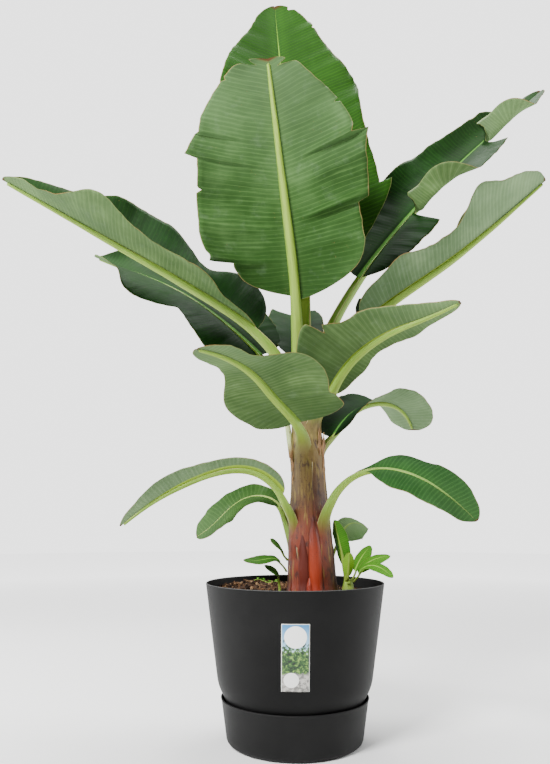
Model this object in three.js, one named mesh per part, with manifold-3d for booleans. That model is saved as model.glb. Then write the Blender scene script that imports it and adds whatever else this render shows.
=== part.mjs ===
// A young banana plant in a round planter that stands on its own saucer.
// Millimetres, +Z up. The origin is on the floor, under the middle of the planter.
// The stem, the leaf stalks, the blades, the planter, the soil and the saucer are separate pieces.

import * as THREE from 'three';
import { mergeVertices } from 'three/addons/utils/BufferGeometryUtils.js';
import Module from 'manifold-3d';

const wasm = await Module();
wasm.setup();

// ---- driving dimensions ----
const GAP = 0.4;            // clearance between neighbouring pieces
const SIDES = 32;           // facets round the planter
const WALL = 4;             // planter and saucer wall
const RIM_RADIUS = 195;
const RIM_HEIGHT = 347;
const LIP = 7;              // height of the turned rim
const WAIST_RADIUS = 169;   // where the wall turns in towards the foot
const WAIST_HEIGHT = 140;
const FOOT_RADIUS = 134;
const SAUCER_RADIUS = 162;
const SAUCER_HEIGHT = 99;
const SAUCER_FOOT = 139;
const SOIL_HEIGHT = 321;
const MOUND = { x: -95, y: 105, rise: 16, spread: 75 };
const LABEL = { width: 55, bottom: 148, top: 284, middle: -4, thickness: 0.8 };

const STEM = {
  bottom: 311,
  top: 845,
  radius: [53, 47, 38, 33, 23],    // from the flared foot to the crown
  lean: [40, 34, 29.5, 25, 21],    // how far the middle stands to the right of the planter's
};

const BLADE = 2.4;          // thickness of a large blade
const SMALL_BLADE = 1.8;
const RIB_STEPS = 96;       // straight steps along a rib
const ENDS = [0.1, 0.08];   // length over which a blade rounds off, at its foot and its tip

// Each large leaf. Angles in degrees, at even stations along the leaf:
//   foot, length, climb, azimuth: where the stalk leaves the stem, and the line that it follows
//   from: where along that line the blade begins        facing: which way the blade looks
//   roll: turn about the rib                            sheath: part of the stalk that is stem
//   stalk: radius of stalk and rib                      half: breadth of a half blade
//   lift, bend: slope of a half at the rib, and how much it turns on the way to the margin
const LEAVES = {
  front_upright: {
    foot: [10, -10, 745], length: 665, climb: [67, 74, 78, 78, 79],
    azimuth: [-97, -102, -129, -129, -131], from: 0.31, facing: -90, sheath: 0.14, lead: 0.35,
    stalk: [17, 11, 9, 6, 3],
    left: { half: [90, 125, 145, 165, 165, 150, 115, 65, 25], lift: [-5, 0], bend: [-25, -10] },
    right: { half: [80, 125, 180, 180, 172, 170, 135, 85, 25], lift: [-5, 0], bend: [-30, -10] },
  },
  back_upright: {
    foot: [20, 5, 745], length: 1035, climb: [77, 80, 79, 78, 77],
    azimuth: [81, 93, 132, 114, 110], from: 0.24, facing: 90, sheath: 0.1, lead: 0.35,
    stalk: [18, 12, 9, 6, 3],
    left: { half: [110, 160, 175, 175, 170, 155, 125, 70, 20], lift: [20, 10], bend: [10, 10] },
    right: { half: [70, 120, 190, 185, 180, 170, 125, 80, 20], lift: [20, 5], bend: [10, 0] },
  },
  left_long: {
    foot: [15, -20, 740], length: 755, climb: [72, 36, 27, 27, 27],
    azimuth: [-141, -168, -168, -171, -171], from: 0.24, facing: 186, sheath: 0.12, lead: 0.25,
    stalk: [18, 11, 8.5, 6, 3],
    left: { half: [20, 45, 105, 105, 100, 120, 80, 45, 20], lift: [5, 10], bend: [5, 5] },
    right: { half: [110, 150, 80, 125, 140, 115, 80, 50, 20], lift: [45, 60], bend: [15, 10] },
  },
  left_back: {
    foot: [5, 20, 750], length: 645, climb: [57, 45, 37, 25, 22],
    azimuth: [148, 163, 161, 166, 169], from: 0.22, facing: 150, sheath: 0.12, lead: 0.25,
    stalk: [17, 11, 8.5, 6, 3],
    left: { half: [50, 85, 110, 95, 105, 125, 80, 60, 20], lift: [-20, -5], bend: [-20, 0] },
    right: { half: [60, 90, 115, 110, 115, 120, 90, 60, 20], lift: [25, 25], bend: [10, 10] },
  },
  right_high: {
    foot: [25, 25, 750], length: 1060, climb: [77, 57, 49, 44, 42],
    azimuth: [42, 26, 16, 14, 12], from: 0.32, facing: 38, sheath: 0.08, lead: 0.25,
    stalk: [18, 12, 9, 6, 3],
    left: { half: [50, 85, 135, 125, 110, 85, 65, 30, 15], lift: [30, 30], bend: [10, 10] },
    right: { half: [60, 90, 40, 30, 85, 40, 28, 60, 20], lift: [-15, 0], bend: [-10, 10] },
  },
  right_mid: {
    foot: [35, -5, 745], length: 655, climb: [72, 43, 32, 38, 40],
    azimuth: [-24, -14, -11, -11, -10], from: 0.3, facing: -8, sheath: 0.12, lead: 0.25,
    stalk: [17, 11, 8.5, 6, 3],
    left: { half: [60, 90, 105, 100, 100, 110, 85, 60, 20], lift: [30, 55], bend: [20, 10] },
    right: { half: [60, 85, 110, 75, 80, 125, 95, 70, 20], lift: [20, 25], bend: [5, 5] },
  },
  right_front: {
    foot: [50, -35, 675], length: 415, climb: [63, 49, 25, 9, 12],
    azimuth: [-65, -53, -42, -41, -46], from: 0.2, facing: -50, sheath: 0.06, lead: 0.25,
    stalk: [14, 9, 7, 5, 2.5],
    left: { half: [20, 32, 38, 28, 28, 32, 22, 16, 10], lift: [-30, -20], bend: [-10, 0] },
    right: { half: [70, 100, 120, 78, 65, 45, 32, 20, 10], lift: [30, 30], bend: [10, 10] },
  },
  left_front: {
    foot: [30, -35, 620], length: 425, climb: [71, 29, 22, 6, -5],
    azimuth: [-120, -128, -119, -122, -127], from: 0.2, facing: -125, sheath: 0.06, lead: 0.25,
    stalk: [14, 9, 7, 5, 2.5],
    left: { half: [70, 100, 120, 135, 115, 65, 40, 35, 15], lift: [10, 10], bend: [-10, 0] },
    right: { half: [40, 65, 100, 85, 60, 45, 40, 30, 15], lift: [-10, 0], bend: [-10, -10] },
  },
  right_twisted: {
    foot: [60, 10, 605], length: 390, climb: [71, 51, 21, -10, -59],
    azimuth: [36, 34, 34, 38, 47], from: 0.18, facing: 35, sheath: 0.06, lead: 0.25,
    stalk: [13, 8, 6.5, 5, 2.5],
    left: { half: [60, 75, 75, 78, 88, 92, 85, 60, 25], lift: [20, 10], bend: [10, 10] },
    right: { half: [60, 75, 75, 75, 75, 75, 65, 50, 25], lift: [20, 10], bend: [-10, -10] },
  },
  right_low: {
    foot: [55, -35, 440], length: 455, climb: [86, 49, -1, -32, -46],
    azimuth: [-75, -35, -30, -34, -33], from: 0.36, facing: -35, sheath: 0.08, lead: 0.25,
    stalk: [15, 9, 7, 5, 2.5],
    left: { half: [20, 32, 44, 46, 46, 48, 42, 28, 12], lift: [50, 40], bend: [-10, 0] },
    right: { half: [15, 30, 45, 55, 52, 46, 44, 36, 12], lift: [-30, -20], bend: [-10, -10] },
  },
  left_low: {
    foot: [10, -25, 440], length: 495, climb: [76, 48, -10, -29, -42],
    azimuth: [-132, -155, -167, -169, -172], from: 0.22, facing: 190, sheath: 0.08, lead: 0.25,
    stalk: [14, 9, 7, 5, 2.5],
    left: { half: [15, 25, 25, 25, 30, 34, 32, 20, 8], lift: [60, 60], bend: [5, 5] },
    right: { half: [15, 25, 30, 34, 38, 36, 30, 20, 8], lift: [50, 40], bend: [5, 5] },
  },
  left_lowest: {
    foot: [5, 15, 395], length: 370, climb: [74, 70, 4, -44, -31],
    azimuth: [152, 147, 159, 173, 171], from: 0.34, facing: 165, sheath: 0.08, lead: 0.25,
    stalk: [13, 8, 6, 4.5, 2.5],
    left: { half: [20, 35, 50, 62, 65, 65, 58, 42, 14], lift: [-20, -30], bend: [-10, 0] },
    right: { half: [12, 22, 30, 45, 60, 65, 65, 50, 18], lift: [45, 45], bend: [10, 10] },
  },
  back_arching: {
    foot: [20, 25, 750], length: 430, climb: [61, 55, 49, 30, 4],
    azimuth: [88, 95, 95, 94, 95], from: 0.28, facing: 92, sheath: 0.1, lead: 0.25,
    stalk: [14, 9, 7, 5, 2.5],
    left: { half: [35, 55, 68, 72, 70, 64, 54, 36, 14], lift: [25, 15], bend: [-10, -10] },
    right: { half: [35, 52, 62, 66, 66, 60, 50, 34, 14], lift: [25, 15], bend: [-10, -10] },
  },
  back_drooping: {
    foot: [20, 20, 595], length: 315, climb: [66, 56, 42, -5, -51],
    azimuth: [88, 88, 88, 88, 88], from: 0.26, facing: 88, sheath: 0.1, lead: 0.25,
    stalk: [12, 8, 6, 4.5, 2.5],
    left: { half: [16, 26, 34, 38, 38, 36, 30, 20, 10], lift: [25, 15], bend: [-10, -10] },
    right: { half: [16, 26, 34, 38, 38, 36, 30, 20, 10], lift: [25, 15], bend: [-10, -10] },
  },
};

// Young leaves of the suckers round the foot of the stem, stalk and blade in one piece.
// half and lift are of the left half and of the right half.
const SUCKERS = {
  sucker_back: {
    foot: [84, 26, 400], length: 155, climb: [59, 55, 44, -4, -38],
    azimuth: [59, 51, 38, 31, 25], from: 0.3, facing: 35, half: [26, 46], lift: [25, -62], radius: 5,
  },
  sucker_rolled: {
    foot: [112, -14, 352], length: 133, climb: [80, 81, 77, 76, 80],
    azimuth: [150, 160, 170, 180, 180], from: 0.22, facing: 250, half: [20, 20], lift: [45, 45],
    radius: 5,
  },
  sucker_spear: {
    foot: [110, -38, 352], length: 64, climb: [66, 70, 74, 80, 84],
    azimuth: [-70, -80, -80, -80, -90], from: 0.15, facing: 270, half: [15, 15], lift: [30, 30],
    radius: 4,
  },
  sucker_upper: {
    foot: [124, -6, 350], length: 90, climb: [68, 66, 59, 49, 45],
    azimuth: [29, 27, 22, 20, 20], from: 0.25, facing: 22, half: [12, 19], lift: [30, -40],
    radius: 3.5,
  },
  sucker_middle: {
    foot: [127, -20, 350], length: 102, climb: [62, 57, 33, 17, 3],
    azimuth: [1, -4, -15, -11, -13], from: 0.2, facing: -10, half: [14, 20], lift: [30, -45],
    radius: 3.5,
  },
  sucker_over_rim: {
    foot: [124, -36, 350], length: 112, climb: [60, 50, 5, -30, -45],
    azimuth: [-28, -30, -30, -26, -22], from: 0.2, facing: -28, half: [14, 17], lift: [25, -30],
    radius: 3.5,
  },
  offset_upper: {
    foot: [-16, -18, 396], length: 68, climb: [50, 50, 44, 31, 23],
    azimuth: [-134, -134, -136, -138, -137], from: 0.25, facing: 225, half: [15, 12],
    lift: [-40, 40], radius: 3.5,
  },
  offset_side: {
    foot: [-18, -28, 372], length: 118, climb: [60, 36, -6, -3, 9],
    azimuth: [-130, -142, -156, -154, -154], from: 0.25, facing: 205, half: [13, 11],
    lift: [-25, 30], radius: 3.5,
  },
  offset_low: {
    foot: [-32, -32, 322], length: 86, climb: [85, 83, 62, 25, 23],
    azimuth: [-90, -108, -131, -153, -155], from: 0.45, facing: 210, half: [16, 10],
    lift: [-40, 30], radius: 4,
  },
};
const SUCKER_STEM = { x: 115, y: -20, bottom: 308, top: 352, radius: [17, 11] };

// ---- solids ----
const rad = THREE.MathUtils.degToRad;
const vec = (x, y, z) => new THREE.Vector3(x, y, z);

// The value at u (0 to 1) of a smooth line through values at even stations.
function through(values, u) {
  const list = Array.isArray(values) ? values : [values];
  if (list.length === 1) {
    return list[0];
  }
  const line = new THREE.CatmullRomCurve3(list.map((v) => vec(v, 0, 0)), false, 'catmullrom', 0.5);
  return line.getPoint(u).x;
}

// A closed body through rings that all have the same number of points; the end rings are closed
// by bridging each ring across its middle.
function loft(rings) {
  const count = rings[0].length;
  const positions = rings.flat().flatMap((p) => [p.x, p.y, p.z]);
  const index = [];
  const quad = (a, b, c, d) => index.push(a, b, c, a, c, d);
  for (let k = 0; k + 1 < rings.length; k += 1) {
    for (let j = 0; j < count; j += 1) {
      const next = (j + 1) % count;
      quad(k * count + j, k * count + next, (k + 1) * count + next, (k + 1) * count + j);
    }
  }
  const last = (rings.length - 1) * count;
  for (let j = 0; j < count / 2 - 1; j += 1) {
    const far = count - 1 - j;
    const inner = far - 1;
    if (inner === j + 1) {
      continue;
    }
    quad(j, far, inner, j + 1);
    quad(last + j, last + j + 1, last + inner, last + far);
  }
  const geometry = new THREE.BufferGeometry();
  geometry.setAttribute('position', new THREE.Float32BufferAttribute(positions, 3));
  geometry.setIndex(index);
  return geometry;
}

function solidOf(geometry) {
  const bare = geometry.clone();
  bare.deleteAttribute('normal');
  bare.deleteAttribute('uv');
  const merged = mergeVertices(bare, 1e-3);
  const read = () => ({
    numProp: 3,
    vertProperties: new Float32Array(merged.attributes.position.array),
    triVerts: new Uint32Array(merged.index.array),
  });
  const first = new wasm.Manifold(new wasm.Mesh(read()));
  if (first.volume() > 0) {
    return first;
  }
  const turned = read();
  for (let i = 0; i < turned.triVerts.length; i += 3) {
    [turned.triVerts[i], turned.triVerts[i + 1]] = [turned.triVerts[i + 1], turned.triVerts[i]];
  }
  return new wasm.Manifold(new wasm.Mesh(turned));
}

function geometryOf(solid) {
  const mesh = solid.getMesh();
  const geometry = new THREE.BufferGeometry();
  geometry.setAttribute('position', new THREE.BufferAttribute(mesh.vertProperties, 3));
  geometry.setIndex(new THREE.BufferAttribute(mesh.triVerts, 1));
  geometry.computeVertexNormals();
  return geometry;
}

const ringAt = (centre, radius, sides, across, along) => {
  const ring = [];
  for (let j = 0; j < sides; j += 1) {
    const turn = (2 * Math.PI * (j + 0.5)) / sides;
    ring.push(
      centre.clone()
        .addScaledVector(across, radius * Math.cos(turn))
        .addScaledVector(along, radius * Math.sin(turn)),
    );
  }
  return ring;
};

const lathe = (profile) => new THREE.LatheGeometry(
  profile.map(([radius, height]) => new THREE.Vector2(radius, height)),
  SIDES,
).rotateX(Math.PI / 2);

// The line of a leaf, walked in equal steps from its foot by climb and azimuth.
function ribOf(leaf) {
  const points = [vec(...leaf.foot)];
  for (let i = 0; i < RIB_STEPS; i += 1) {
    const s = (i + 0.5) / RIB_STEPS;
    const climb = rad(through(leaf.climb, s));
    const azimuth = rad(through(leaf.azimuth, s));
    const level = Math.cos(climb);
    const step = vec(level * Math.cos(azimuth), level * Math.sin(azimuth), Math.sin(climb));
    points.push(points[i].clone().addScaledVector(step, leaf.length / RIB_STEPS));
  }
  return points;
}

// Place, direction, left side and upper normal of a leaf at s (0 at the foot, 1 at the tip).
function stationOf(leaf, s) {
  leaf.line ??= ribOf(leaf);
  const at = (t) => {
    const place = THREE.MathUtils.clamp(t, 0, 1) * RIB_STEPS;
    const i = Math.min(Math.floor(place), RIB_STEPS - 1);
    return leaf.line[i].clone().lerp(leaf.line[i + 1], place - i);
  };
  const point = at(s);
  const ahead = at(s + 0.01).sub(at(s - 0.01)).normalize();
  const facing = rad(leaf.facing);
  const left = vec(-Math.sin(facing), Math.cos(facing), 0);
  left.addScaledVector(ahead, -left.dot(ahead)).normalize();
  const up = ahead.clone().cross(left);
  return { point, ahead, left, up };
}

// How far the rib's middle lies below the blade, so that the blade rests on it.
function ribDepth(leaf, s, radius) {
  const steepest = Math.max(0, -leaf.left.lift[0], -leaf.right.lift[0]) + 8;
  const full = (radius + BLADE / 2 + GAP + 0.6) / Math.cos(rad(steepest));
  return full * THREE.MathUtils.smoothstep(s, 0, leaf.from * 0.9);
}

function stalkSolid(leaf, start, end, count, grow) {
  const rings = [];
  for (let k = 0; k <= count; k += 1) {
    const s = start + ((end - start) * k) / count;
    const radius = through(leaf.stalk, s);
    const { point, left, up } = stationOf(leaf, s);
    point.addScaledVector(up, -ribDepth(leaf, s, radius));
    rings.push(ringAt(point, radius + grow, 8, left, up));
  }
  return solidOf(loft(rings));
}

// A blade as a thin slab: rows of points across the leaf, from margin to margin.
function bladeSolid(leaf, options) {
  const { along, across, thickness, grow } = options;
  const rows = [];
  for (let k = 0; k <= along; k += 1) {
    const u = k / along;
    const { point, ahead, left, up } = stationOf(leaf, leaf.from + (1 - leaf.from) * u);
    const rounding = ENDS.map((length, end) => {
      const inward = THREE.MathUtils.clamp((end === 0 ? u : 1 - u) / length, 0, 1);
      return Math.sqrt(1 - (1 - inward) ** 2);
    });
    const row = [point];
    for (const [name, sign] of [['left', 1], ['right', -1]]) {
      const side = leaf[name];
      const breadth = Math.max(through(side.half, u) * rounding[0] * rounding[1], 3) + grow;
      const lift = rad(through(side.lift, u));
      const bend = rad(through(side.bend, u));
      const fine = across * 4;
      let out = 0;
      let rise = 0;
      for (let j = 0; j < fine; j += 1) {
        const slope = lift + (bend * (j + 0.5)) / fine;
        out += (breadth * Math.cos(slope)) / fine;
        rise += (breadth * Math.sin(slope)) / fine;
        if ((j + 1) % 4 === 0) {
          const a = (j + 1) / fine;
          const place = point.clone()
            .addScaledVector(left, sign * out)
            .addScaledVector(up, rise)
            .addScaledVector(ahead, leaf.lead * breadth * a * u);
          if (sign > 0) {
            row.push(place);
          } else {
            row.unshift(place);
          }
        }
      }
    }
    rows.push(row);
  }
  const rings = rows.map((row, k) => {
    const before = rows[Math.max(k - 1, 0)];
    const after = rows[Math.min(k + 1, along)];
    const upper = [];
    const lower = [];
    row.forEach((point, j) => {
      const sideways = row[Math.min(j + 1, row.length - 1)].clone().sub(row[Math.max(j - 1, 0)]);
      const normal = after[j].clone().sub(before[j]).cross(sideways).normalize();
      const offset = thickness / 2 + grow;
      upper.push(point.clone().addScaledVector(normal, offset));
      lower.unshift(point.clone().addScaledVector(normal, -offset));
    });
    return [...upper, ...lower];
  });
  return solidOf(loft(rings));
}

// The largest body of a solid, so that a cut never leaves a loose crumb.
function largest(solid) {
  const bodies = solid.decompose();
  bodies.sort((a, b) => b.volume() - a.volume());
  return bodies[0];
}

// ---- the pieces ----
const plant = new THREE.Group();
const PLASTIC = { color: 0x363636, roughness: 0.62, metalness: 0 };
const SAUCER_PLASTIC = { color: 0x3b3b3c, roughness: 0.62, metalness: 0 };
const EARTH = { color: 0x4a3427, roughness: 0.95, metalness: 0 };
const PAPER = { color: 0xe9ece6, roughness: 0.6, metalness: 0 };
const SHEATH = { color: 0x8a6a48, roughness: 0.7, metalness: 0 };
const STALK = { color: 0x9fb653, roughness: 0.5, metalness: 0 };
const FOLIAGE = { color: 0x3f7a37, roughness: 0.45, metalness: 0 };
const YOUNG = { color: 0x6aa23a, roughness: 0.45, metalness: 0 };

const placed = [];
function add(name, geometry, look) {
  const mesh = new THREE.Mesh(geometry, new THREE.MeshStandardMaterial(look));
  mesh.name = name;
  plant.add(mesh);
}

// Adds a grown piece after cutting away its fattened neighbours; grown(extra) makes the piece
// with that much more all round.
function addGrown(name, grown, look) {
  let solid = grown(0);
  for (const other of placed) {
    if (solid.intersect(other.fat).volume() > 0) {
      solid = largest(solid.subtract(other.fat));
    }
  }
  placed.push({ name, fat: grown(GAP) });
  add(name, geometryOf(solid), look);
}

// Planter wall: outer profile from the foot to the rim, then back down the inside.
const outer = [
  [FOOT_RADIUS, WALL + GAP],
  [FOOT_RADIUS + 5, 30],
  [FOOT_RADIUS + 13, 80],
  [156, 102],
  [161.5, 115],
  [WAIST_RADIUS, WAIST_HEIGHT],
  [RIM_RADIUS - 2, RIM_HEIGHT - LIP],
  [RIM_RADIUS, RIM_HEIGHT - LIP + 1],
  [RIM_RADIUS, RIM_HEIGHT],
];
const inner = [
  [RIM_RADIUS - WALL, RIM_HEIGHT],
  [WAIST_RADIUS - WALL, WAIST_HEIGHT],
  [152, 102],
  [FOOT_RADIUS + 3, 50],
  [FOOT_RADIUS - WALL, 12],
];
add('pot', lathe([[0, WALL + GAP], ...outer, ...inner, [0, 10]]), PLASTIC);

// Saucer: a shallow ring that the planter's foot stands in, flat underneath.
add('saucer', lathe([
  [0, 0],
  [SAUCER_FOOT, 0],
  [SAUCER_FOOT + 10, 4],
  [152, 12],
  [SAUCER_RADIUS, SAUCER_HEIGHT],
  [SAUCER_RADIUS - 3.5, SAUCER_HEIGHT],
  [148.5, 14],
  [SAUCER_FOOT + 5, WALL],
  [0, WALL],
]), SAUCER_PLASTIC);

// Label: a thin sheet on the front of the wall.
function wallRadius(height, profile) {
  for (let i = 0; i + 1 < profile.length; i += 1) {
    const [[r0, z0], [r1, z1]] = [profile[i], profile[i + 1]];
    if ((height - z0) * (height - z1) <= 0 && z0 !== z1) {
      return r0 + ((r1 - r0) * (height - z0)) / (z1 - z0);
    }
  }
  return profile.at(-1)[0];
}

const labelRings = [LABEL.bottom, LABEL.top].map((height) => {
  const outside = wallRadius(height, outer) + GAP;
  const ring = [];
  const steps = 6;
  for (const [radius, way] of [[outside, 1], [outside + LABEL.thickness, -1]]) {
    for (let j = 0; j <= steps; j += 1) {
      const x = LABEL.middle + way * LABEL.width * (j / steps - 0.5);
      ring.push(vec(x, -Math.sqrt(radius ** 2 - x ** 2), height));
    }
  }
  return ring;
});
add('label', geometryOf(solidOf(loft(labelRings))), PAPER);

// Stem: a leaning, tapering trunk of rolled sheaths that flares at its foot and is cut flat there.
// The lowest part of every stalk is sheath, and belongs to the stem.
function stemSolid(grow) {
  const rings = [];
  const levels = 8;
  for (let k = 0; k <= levels; k += 1) {
    const u = k / levels;
    const height = STEM.bottom + (STEM.top - STEM.bottom) * u + (k === 0 ? -grow : 0);
    const centre = vec(through(STEM.lean, u), 0, height);
    rings.push(ringAt(centre, through(STEM.radius, u) + grow, 14, vec(1, 0, 0), vec(0, 1, 0)));
  }
  let solid = solidOf(loft(rings));
  for (const leaf of Object.values(LEAVES)) {
    solid = solid.add(stalkSolid(leaf, 0, leaf.sheath, 1, grow));
  }
  return largest(solid);
}
addGrown('pseudostem', stemSolid, SHEATH);

const suckerStem = (grow) => {
  const { x, y, bottom, top, radius } = SUCKER_STEM;
  const rings = [[bottom - grow, radius[0]], [(bottom + top) / 2, 14], [top + grow, radius[1]]]
    .map(([height, size]) => ringAt(vec(x, y, height), size + grow, 10, vec(1, 0, 0), vec(0, 1, 0)));
  return solidOf(loft(rings));
};
addGrown('sucker_stem', suckerStem, YOUNG);

for (const [name, leaf] of Object.entries(LEAVES)) {
  const past = (2 * GAP) / leaf.length;
  addGrown(`stalk_${name}`, (grow) => stalkSolid(leaf, leaf.sheath + past, 0.985, 6, grow), STALK);
}
for (const [name, leaf] of Object.entries(LEAVES)) {
  const size = { along: 12, across: 2, thickness: BLADE };
  addGrown(`blade_${name}`, (grow) => bladeSolid(leaf, { ...size, grow }), FOLIAGE);
}
for (const [name, young] of Object.entries(SUCKERS)) {
  const { half, lift, radius } = young;
  const [left, right] = half.map((breadth, i) => ({
    half: [breadth * 0.5, breadth, breadth * 0.95, breadth * 0.3],
    lift: [lift[i], lift[i]],
    bend: [5, 5],
  }));
  const leaf = { ...young, left, right, lead: 0.2, stalk: [radius, radius * 0.7, 1.5, 1] };
  const size = { along: 4, across: 1, thickness: SMALL_BLADE };
  const grown = (grow) => {
    const rings = [];
    for (let k = 0; k <= 2; k += 1) {
      const s = (k / 2) * (leaf.from + 0.1);
      const { point, left, up } = stationOf(leaf, s);
      rings.push(ringAt(point, through(leaf.stalk, s) + grow, 6, left, up));
    }
    return bladeSolid(leaf, { ...size, grow }).add(solidOf(loft(rings)));
  };
  addGrown(name, grown, YOUNG);
}

// Soil: fills the planter, with a low mound, and is open round whatever grows out of it.
const soilRings = [];
const soilSides = 24;
const soilLevels = [12.5, 50, 102, WAIST_HEIGHT];
const soilShares = [1, 0.75, 0.4, 0.08];
const soilHeight = (x, y) => {
  const away = (x - MOUND.x) ** 2 + (y - MOUND.y) ** 2;
  return SOIL_HEIGHT + MOUND.rise * Math.exp(-away / (2 * MOUND.spread ** 2));
};
const insideWall = [...inner].reverse();
for (const height of soilLevels) {
  const radius = wallRadius(height, insideWall) - 2;
  soilRings.push(ringAt(vec(0, 0, height), radius, soilSides, vec(1, 0, 0), vec(0, 1, 0)));
}
for (const share of soilShares) {
  const radius = (wallRadius(SOIL_HEIGHT, insideWall) - 2) * share;
  const ring = ringAt(vec(0, 0, 0), radius, soilSides, vec(1, 0, 0), vec(0, 1, 0));
  ring.forEach((point) => point.setZ(soilHeight(point.x, point.y)));
  soilRings.push(ring);
}
addGrown('soil', () => solidOf(loft(soilRings)), EARTH);

export default plant;
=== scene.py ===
"""A young banana plant in a round planter that stands in its own saucer.

Metres, +Z up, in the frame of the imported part. The pieces stand in for that part's solids, and
a few small ones, such as crumbs and husks, lie on them.
"""

import math

import bmesh
import bpy
import numpy as np
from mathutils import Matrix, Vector


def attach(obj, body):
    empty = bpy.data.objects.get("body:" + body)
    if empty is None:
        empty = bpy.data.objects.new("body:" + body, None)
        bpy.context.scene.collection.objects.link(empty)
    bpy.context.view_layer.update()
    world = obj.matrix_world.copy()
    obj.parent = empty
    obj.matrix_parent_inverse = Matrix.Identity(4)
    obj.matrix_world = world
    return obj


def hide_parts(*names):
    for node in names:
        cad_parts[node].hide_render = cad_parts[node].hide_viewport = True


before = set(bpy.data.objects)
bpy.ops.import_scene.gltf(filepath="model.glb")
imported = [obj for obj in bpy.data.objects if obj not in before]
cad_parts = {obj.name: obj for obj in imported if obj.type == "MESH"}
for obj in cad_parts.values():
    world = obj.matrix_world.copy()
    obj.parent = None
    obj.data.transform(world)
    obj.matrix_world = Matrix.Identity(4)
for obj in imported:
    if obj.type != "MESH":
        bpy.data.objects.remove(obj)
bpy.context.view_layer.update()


# ---- The room -------------------------------------------------------------------------------
# A plain pale floor under an even sky that looks brighter than it lights, with large soft lamps
# in front, on both sides and above. The eye is a little above the rim and looks straight ahead.

MM = 0.001


def shade(value):
    """Six hex digits become the linear colour that shaders take. Anything else stays as it is."""
    if not isinstance(value, str):
        return value
    parts = [int(value[i:i + 2], 16) / 255 for i in (0, 2, 4)]
    linear = [((p + 0.055) / 1.055) ** 2.4 if p > 0.04045 else p / 12.92 for p in parts]
    return (*linear, 1.0)


def plug(tree, place, value):
    """Links a varying value to a socket, or sets a plain number or colour on it."""
    if isinstance(value, Wire):
        tree.links.new(value.socket, place)
    else:
        place.default_value = shade(value)


class Wire:
    """A value that varies over a surface. Sums written with it add the nodes that do them."""

    def __init__(self, tree, socket):
        self.tree = tree
        self.socket = socket

    def sum(self, operation, *values):
        node = self.tree.nodes.new("ShaderNodeMath")
        node.operation = operation
        for place, value in zip(node.inputs, values):
            plug(self.tree, place, value)
        return Wire(self.tree, node.outputs[0])

    def __add__(self, other):
        return self.sum("ADD", self, other)

    def __radd__(self, other):
        return self.sum("ADD", other, self)

    def __sub__(self, other):
        return self.sum("SUBTRACT", self, other)

    def __rsub__(self, other):
        return self.sum("SUBTRACT", other, self)

    def __mul__(self, other):
        return self.sum("MULTIPLY", self, other)

    def __rmul__(self, other):
        return self.sum("MULTIPLY", other, self)

    def __truediv__(self, other):
        return self.sum("DIVIDE", self, other)

    def __pow__(self, other):
        return self.sum("POWER", self, other)

    def __abs__(self):
        return self.sum("ABSOLUTE", self)

    def fraction(self):
        return self.sum("FRACT", self)

    def step(self, start, end):
        """0 at start and beyond it, 1 at end and beyond it, smooth between."""
        node = self.tree.nodes.new("ShaderNodeMapRange")
        node.interpolation_type = "SMOOTHSTEP"
        for name, value in (("Value", self), ("From Min", start), ("From Max", end)):
            plug(self.tree, node.inputs[name], value)
        return Wire(self.tree, node.outputs[0])


class Finish:
    """A material: settled values go straight on the shader, varying ones come from nodes."""

    def __init__(self, name, **settled):
        self.material = bpy.data.materials.new(name)
        self.material.use_nodes = True
        self.tree = self.material.node_tree
        self.shader = self.tree.nodes["Principled BSDF"]
        for socket, value in settled.items():
            self.shader.inputs[socket.replace("_", " ")].default_value = value

    def node(self, kind, settings, inputs, output=0):
        node = self.tree.nodes.new("ShaderNode" + kind)
        for name, value in settings.items():
            if name == "stops":
                while len(node.color_ramp.elements) < len(value):
                    node.color_ramp.elements.new(0.5)
                for element, (position, colour) in zip(node.color_ramp.elements, value):
                    element.position = position
                    element.color = shade(colour)
            else:
                setattr(node, name, value)
        for name, value in inputs.items():
            plug(self.tree, node.inputs[name], value)
        return Wire(self.tree, node.outputs[output])

    def place(self):
        """Where a point lies in the part's frame, in metres."""
        return self.node("TexCoord", {}, {}, "Object")

    def mark(self, name):
        """A value that the mesh carries at its points."""
        return self.node("Attribute", {"attribute_name": name}, {}, "Fac")

    def split(self, vector):
        return [self.node("SeparateXYZ", {}, {"Vector": vector}, axis) for axis in "XYZ"]

    def join(self, x, y, z):
        return self.node("CombineXYZ", {}, {"X": x, "Y": y, "Z": z})

    def noise(self, vector, scale, detail=2.0, roughness=0.5):
        inputs = {"Vector": vector, "Scale": scale, "Detail": detail, "Roughness": roughness}
        return self.node("TexNoise", {}, inputs)

    def blend(self, share, first, second):
        settings = {"data_type": "RGBA"}
        return self.node("Mix", settings, {0: share, 6: first, 7: second}, 2)

    def ramp(self, value, *stops):
        return self.node("ValToRGB", {"stops": stops}, {"Fac": value})

    def feed(self, socket, value):
        plug(self.tree, self.shader.inputs[socket], value)

    def relief(self, height, depth):
        """Small bumps of that depth in metres, from a height between 0 and 1."""
        inputs = {"Height": height, "Distance": depth, "Strength": 1.0}
        self.feed("Normal", self.node("Bump", {}, inputs))


def meshed(form, name):
    """The finished form as a mesh."""
    mesh = bpy.data.meshes.new(name)
    form.to_mesh(mesh)
    form.free()
    return mesh


def stand(name, mesh, *finishes):
    """Puts a finished mesh in the scene as an object at the origin."""
    thing = bpy.data.objects.new(name, mesh)
    bpy.context.scene.collection.objects.link(thing)
    for finish in finishes:
        mesh.materials.append(finish.material)
    return thing


eye = bpy.data.objects.new("camera", bpy.data.cameras.new("camera"))
eye.location = (-0.0435, -1.450, 0.481)
eye.rotation_euler = (math.pi / 2, 0, 0)
eye.data.lens = 31.1
eye.data.sensor_width = 36
eye.data.shift_y = 0.1815
eye.data.clip_start = 0.05
bpy.context.scene.collection.objects.link(eye)
bpy.context.scene.camera = eye

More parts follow.
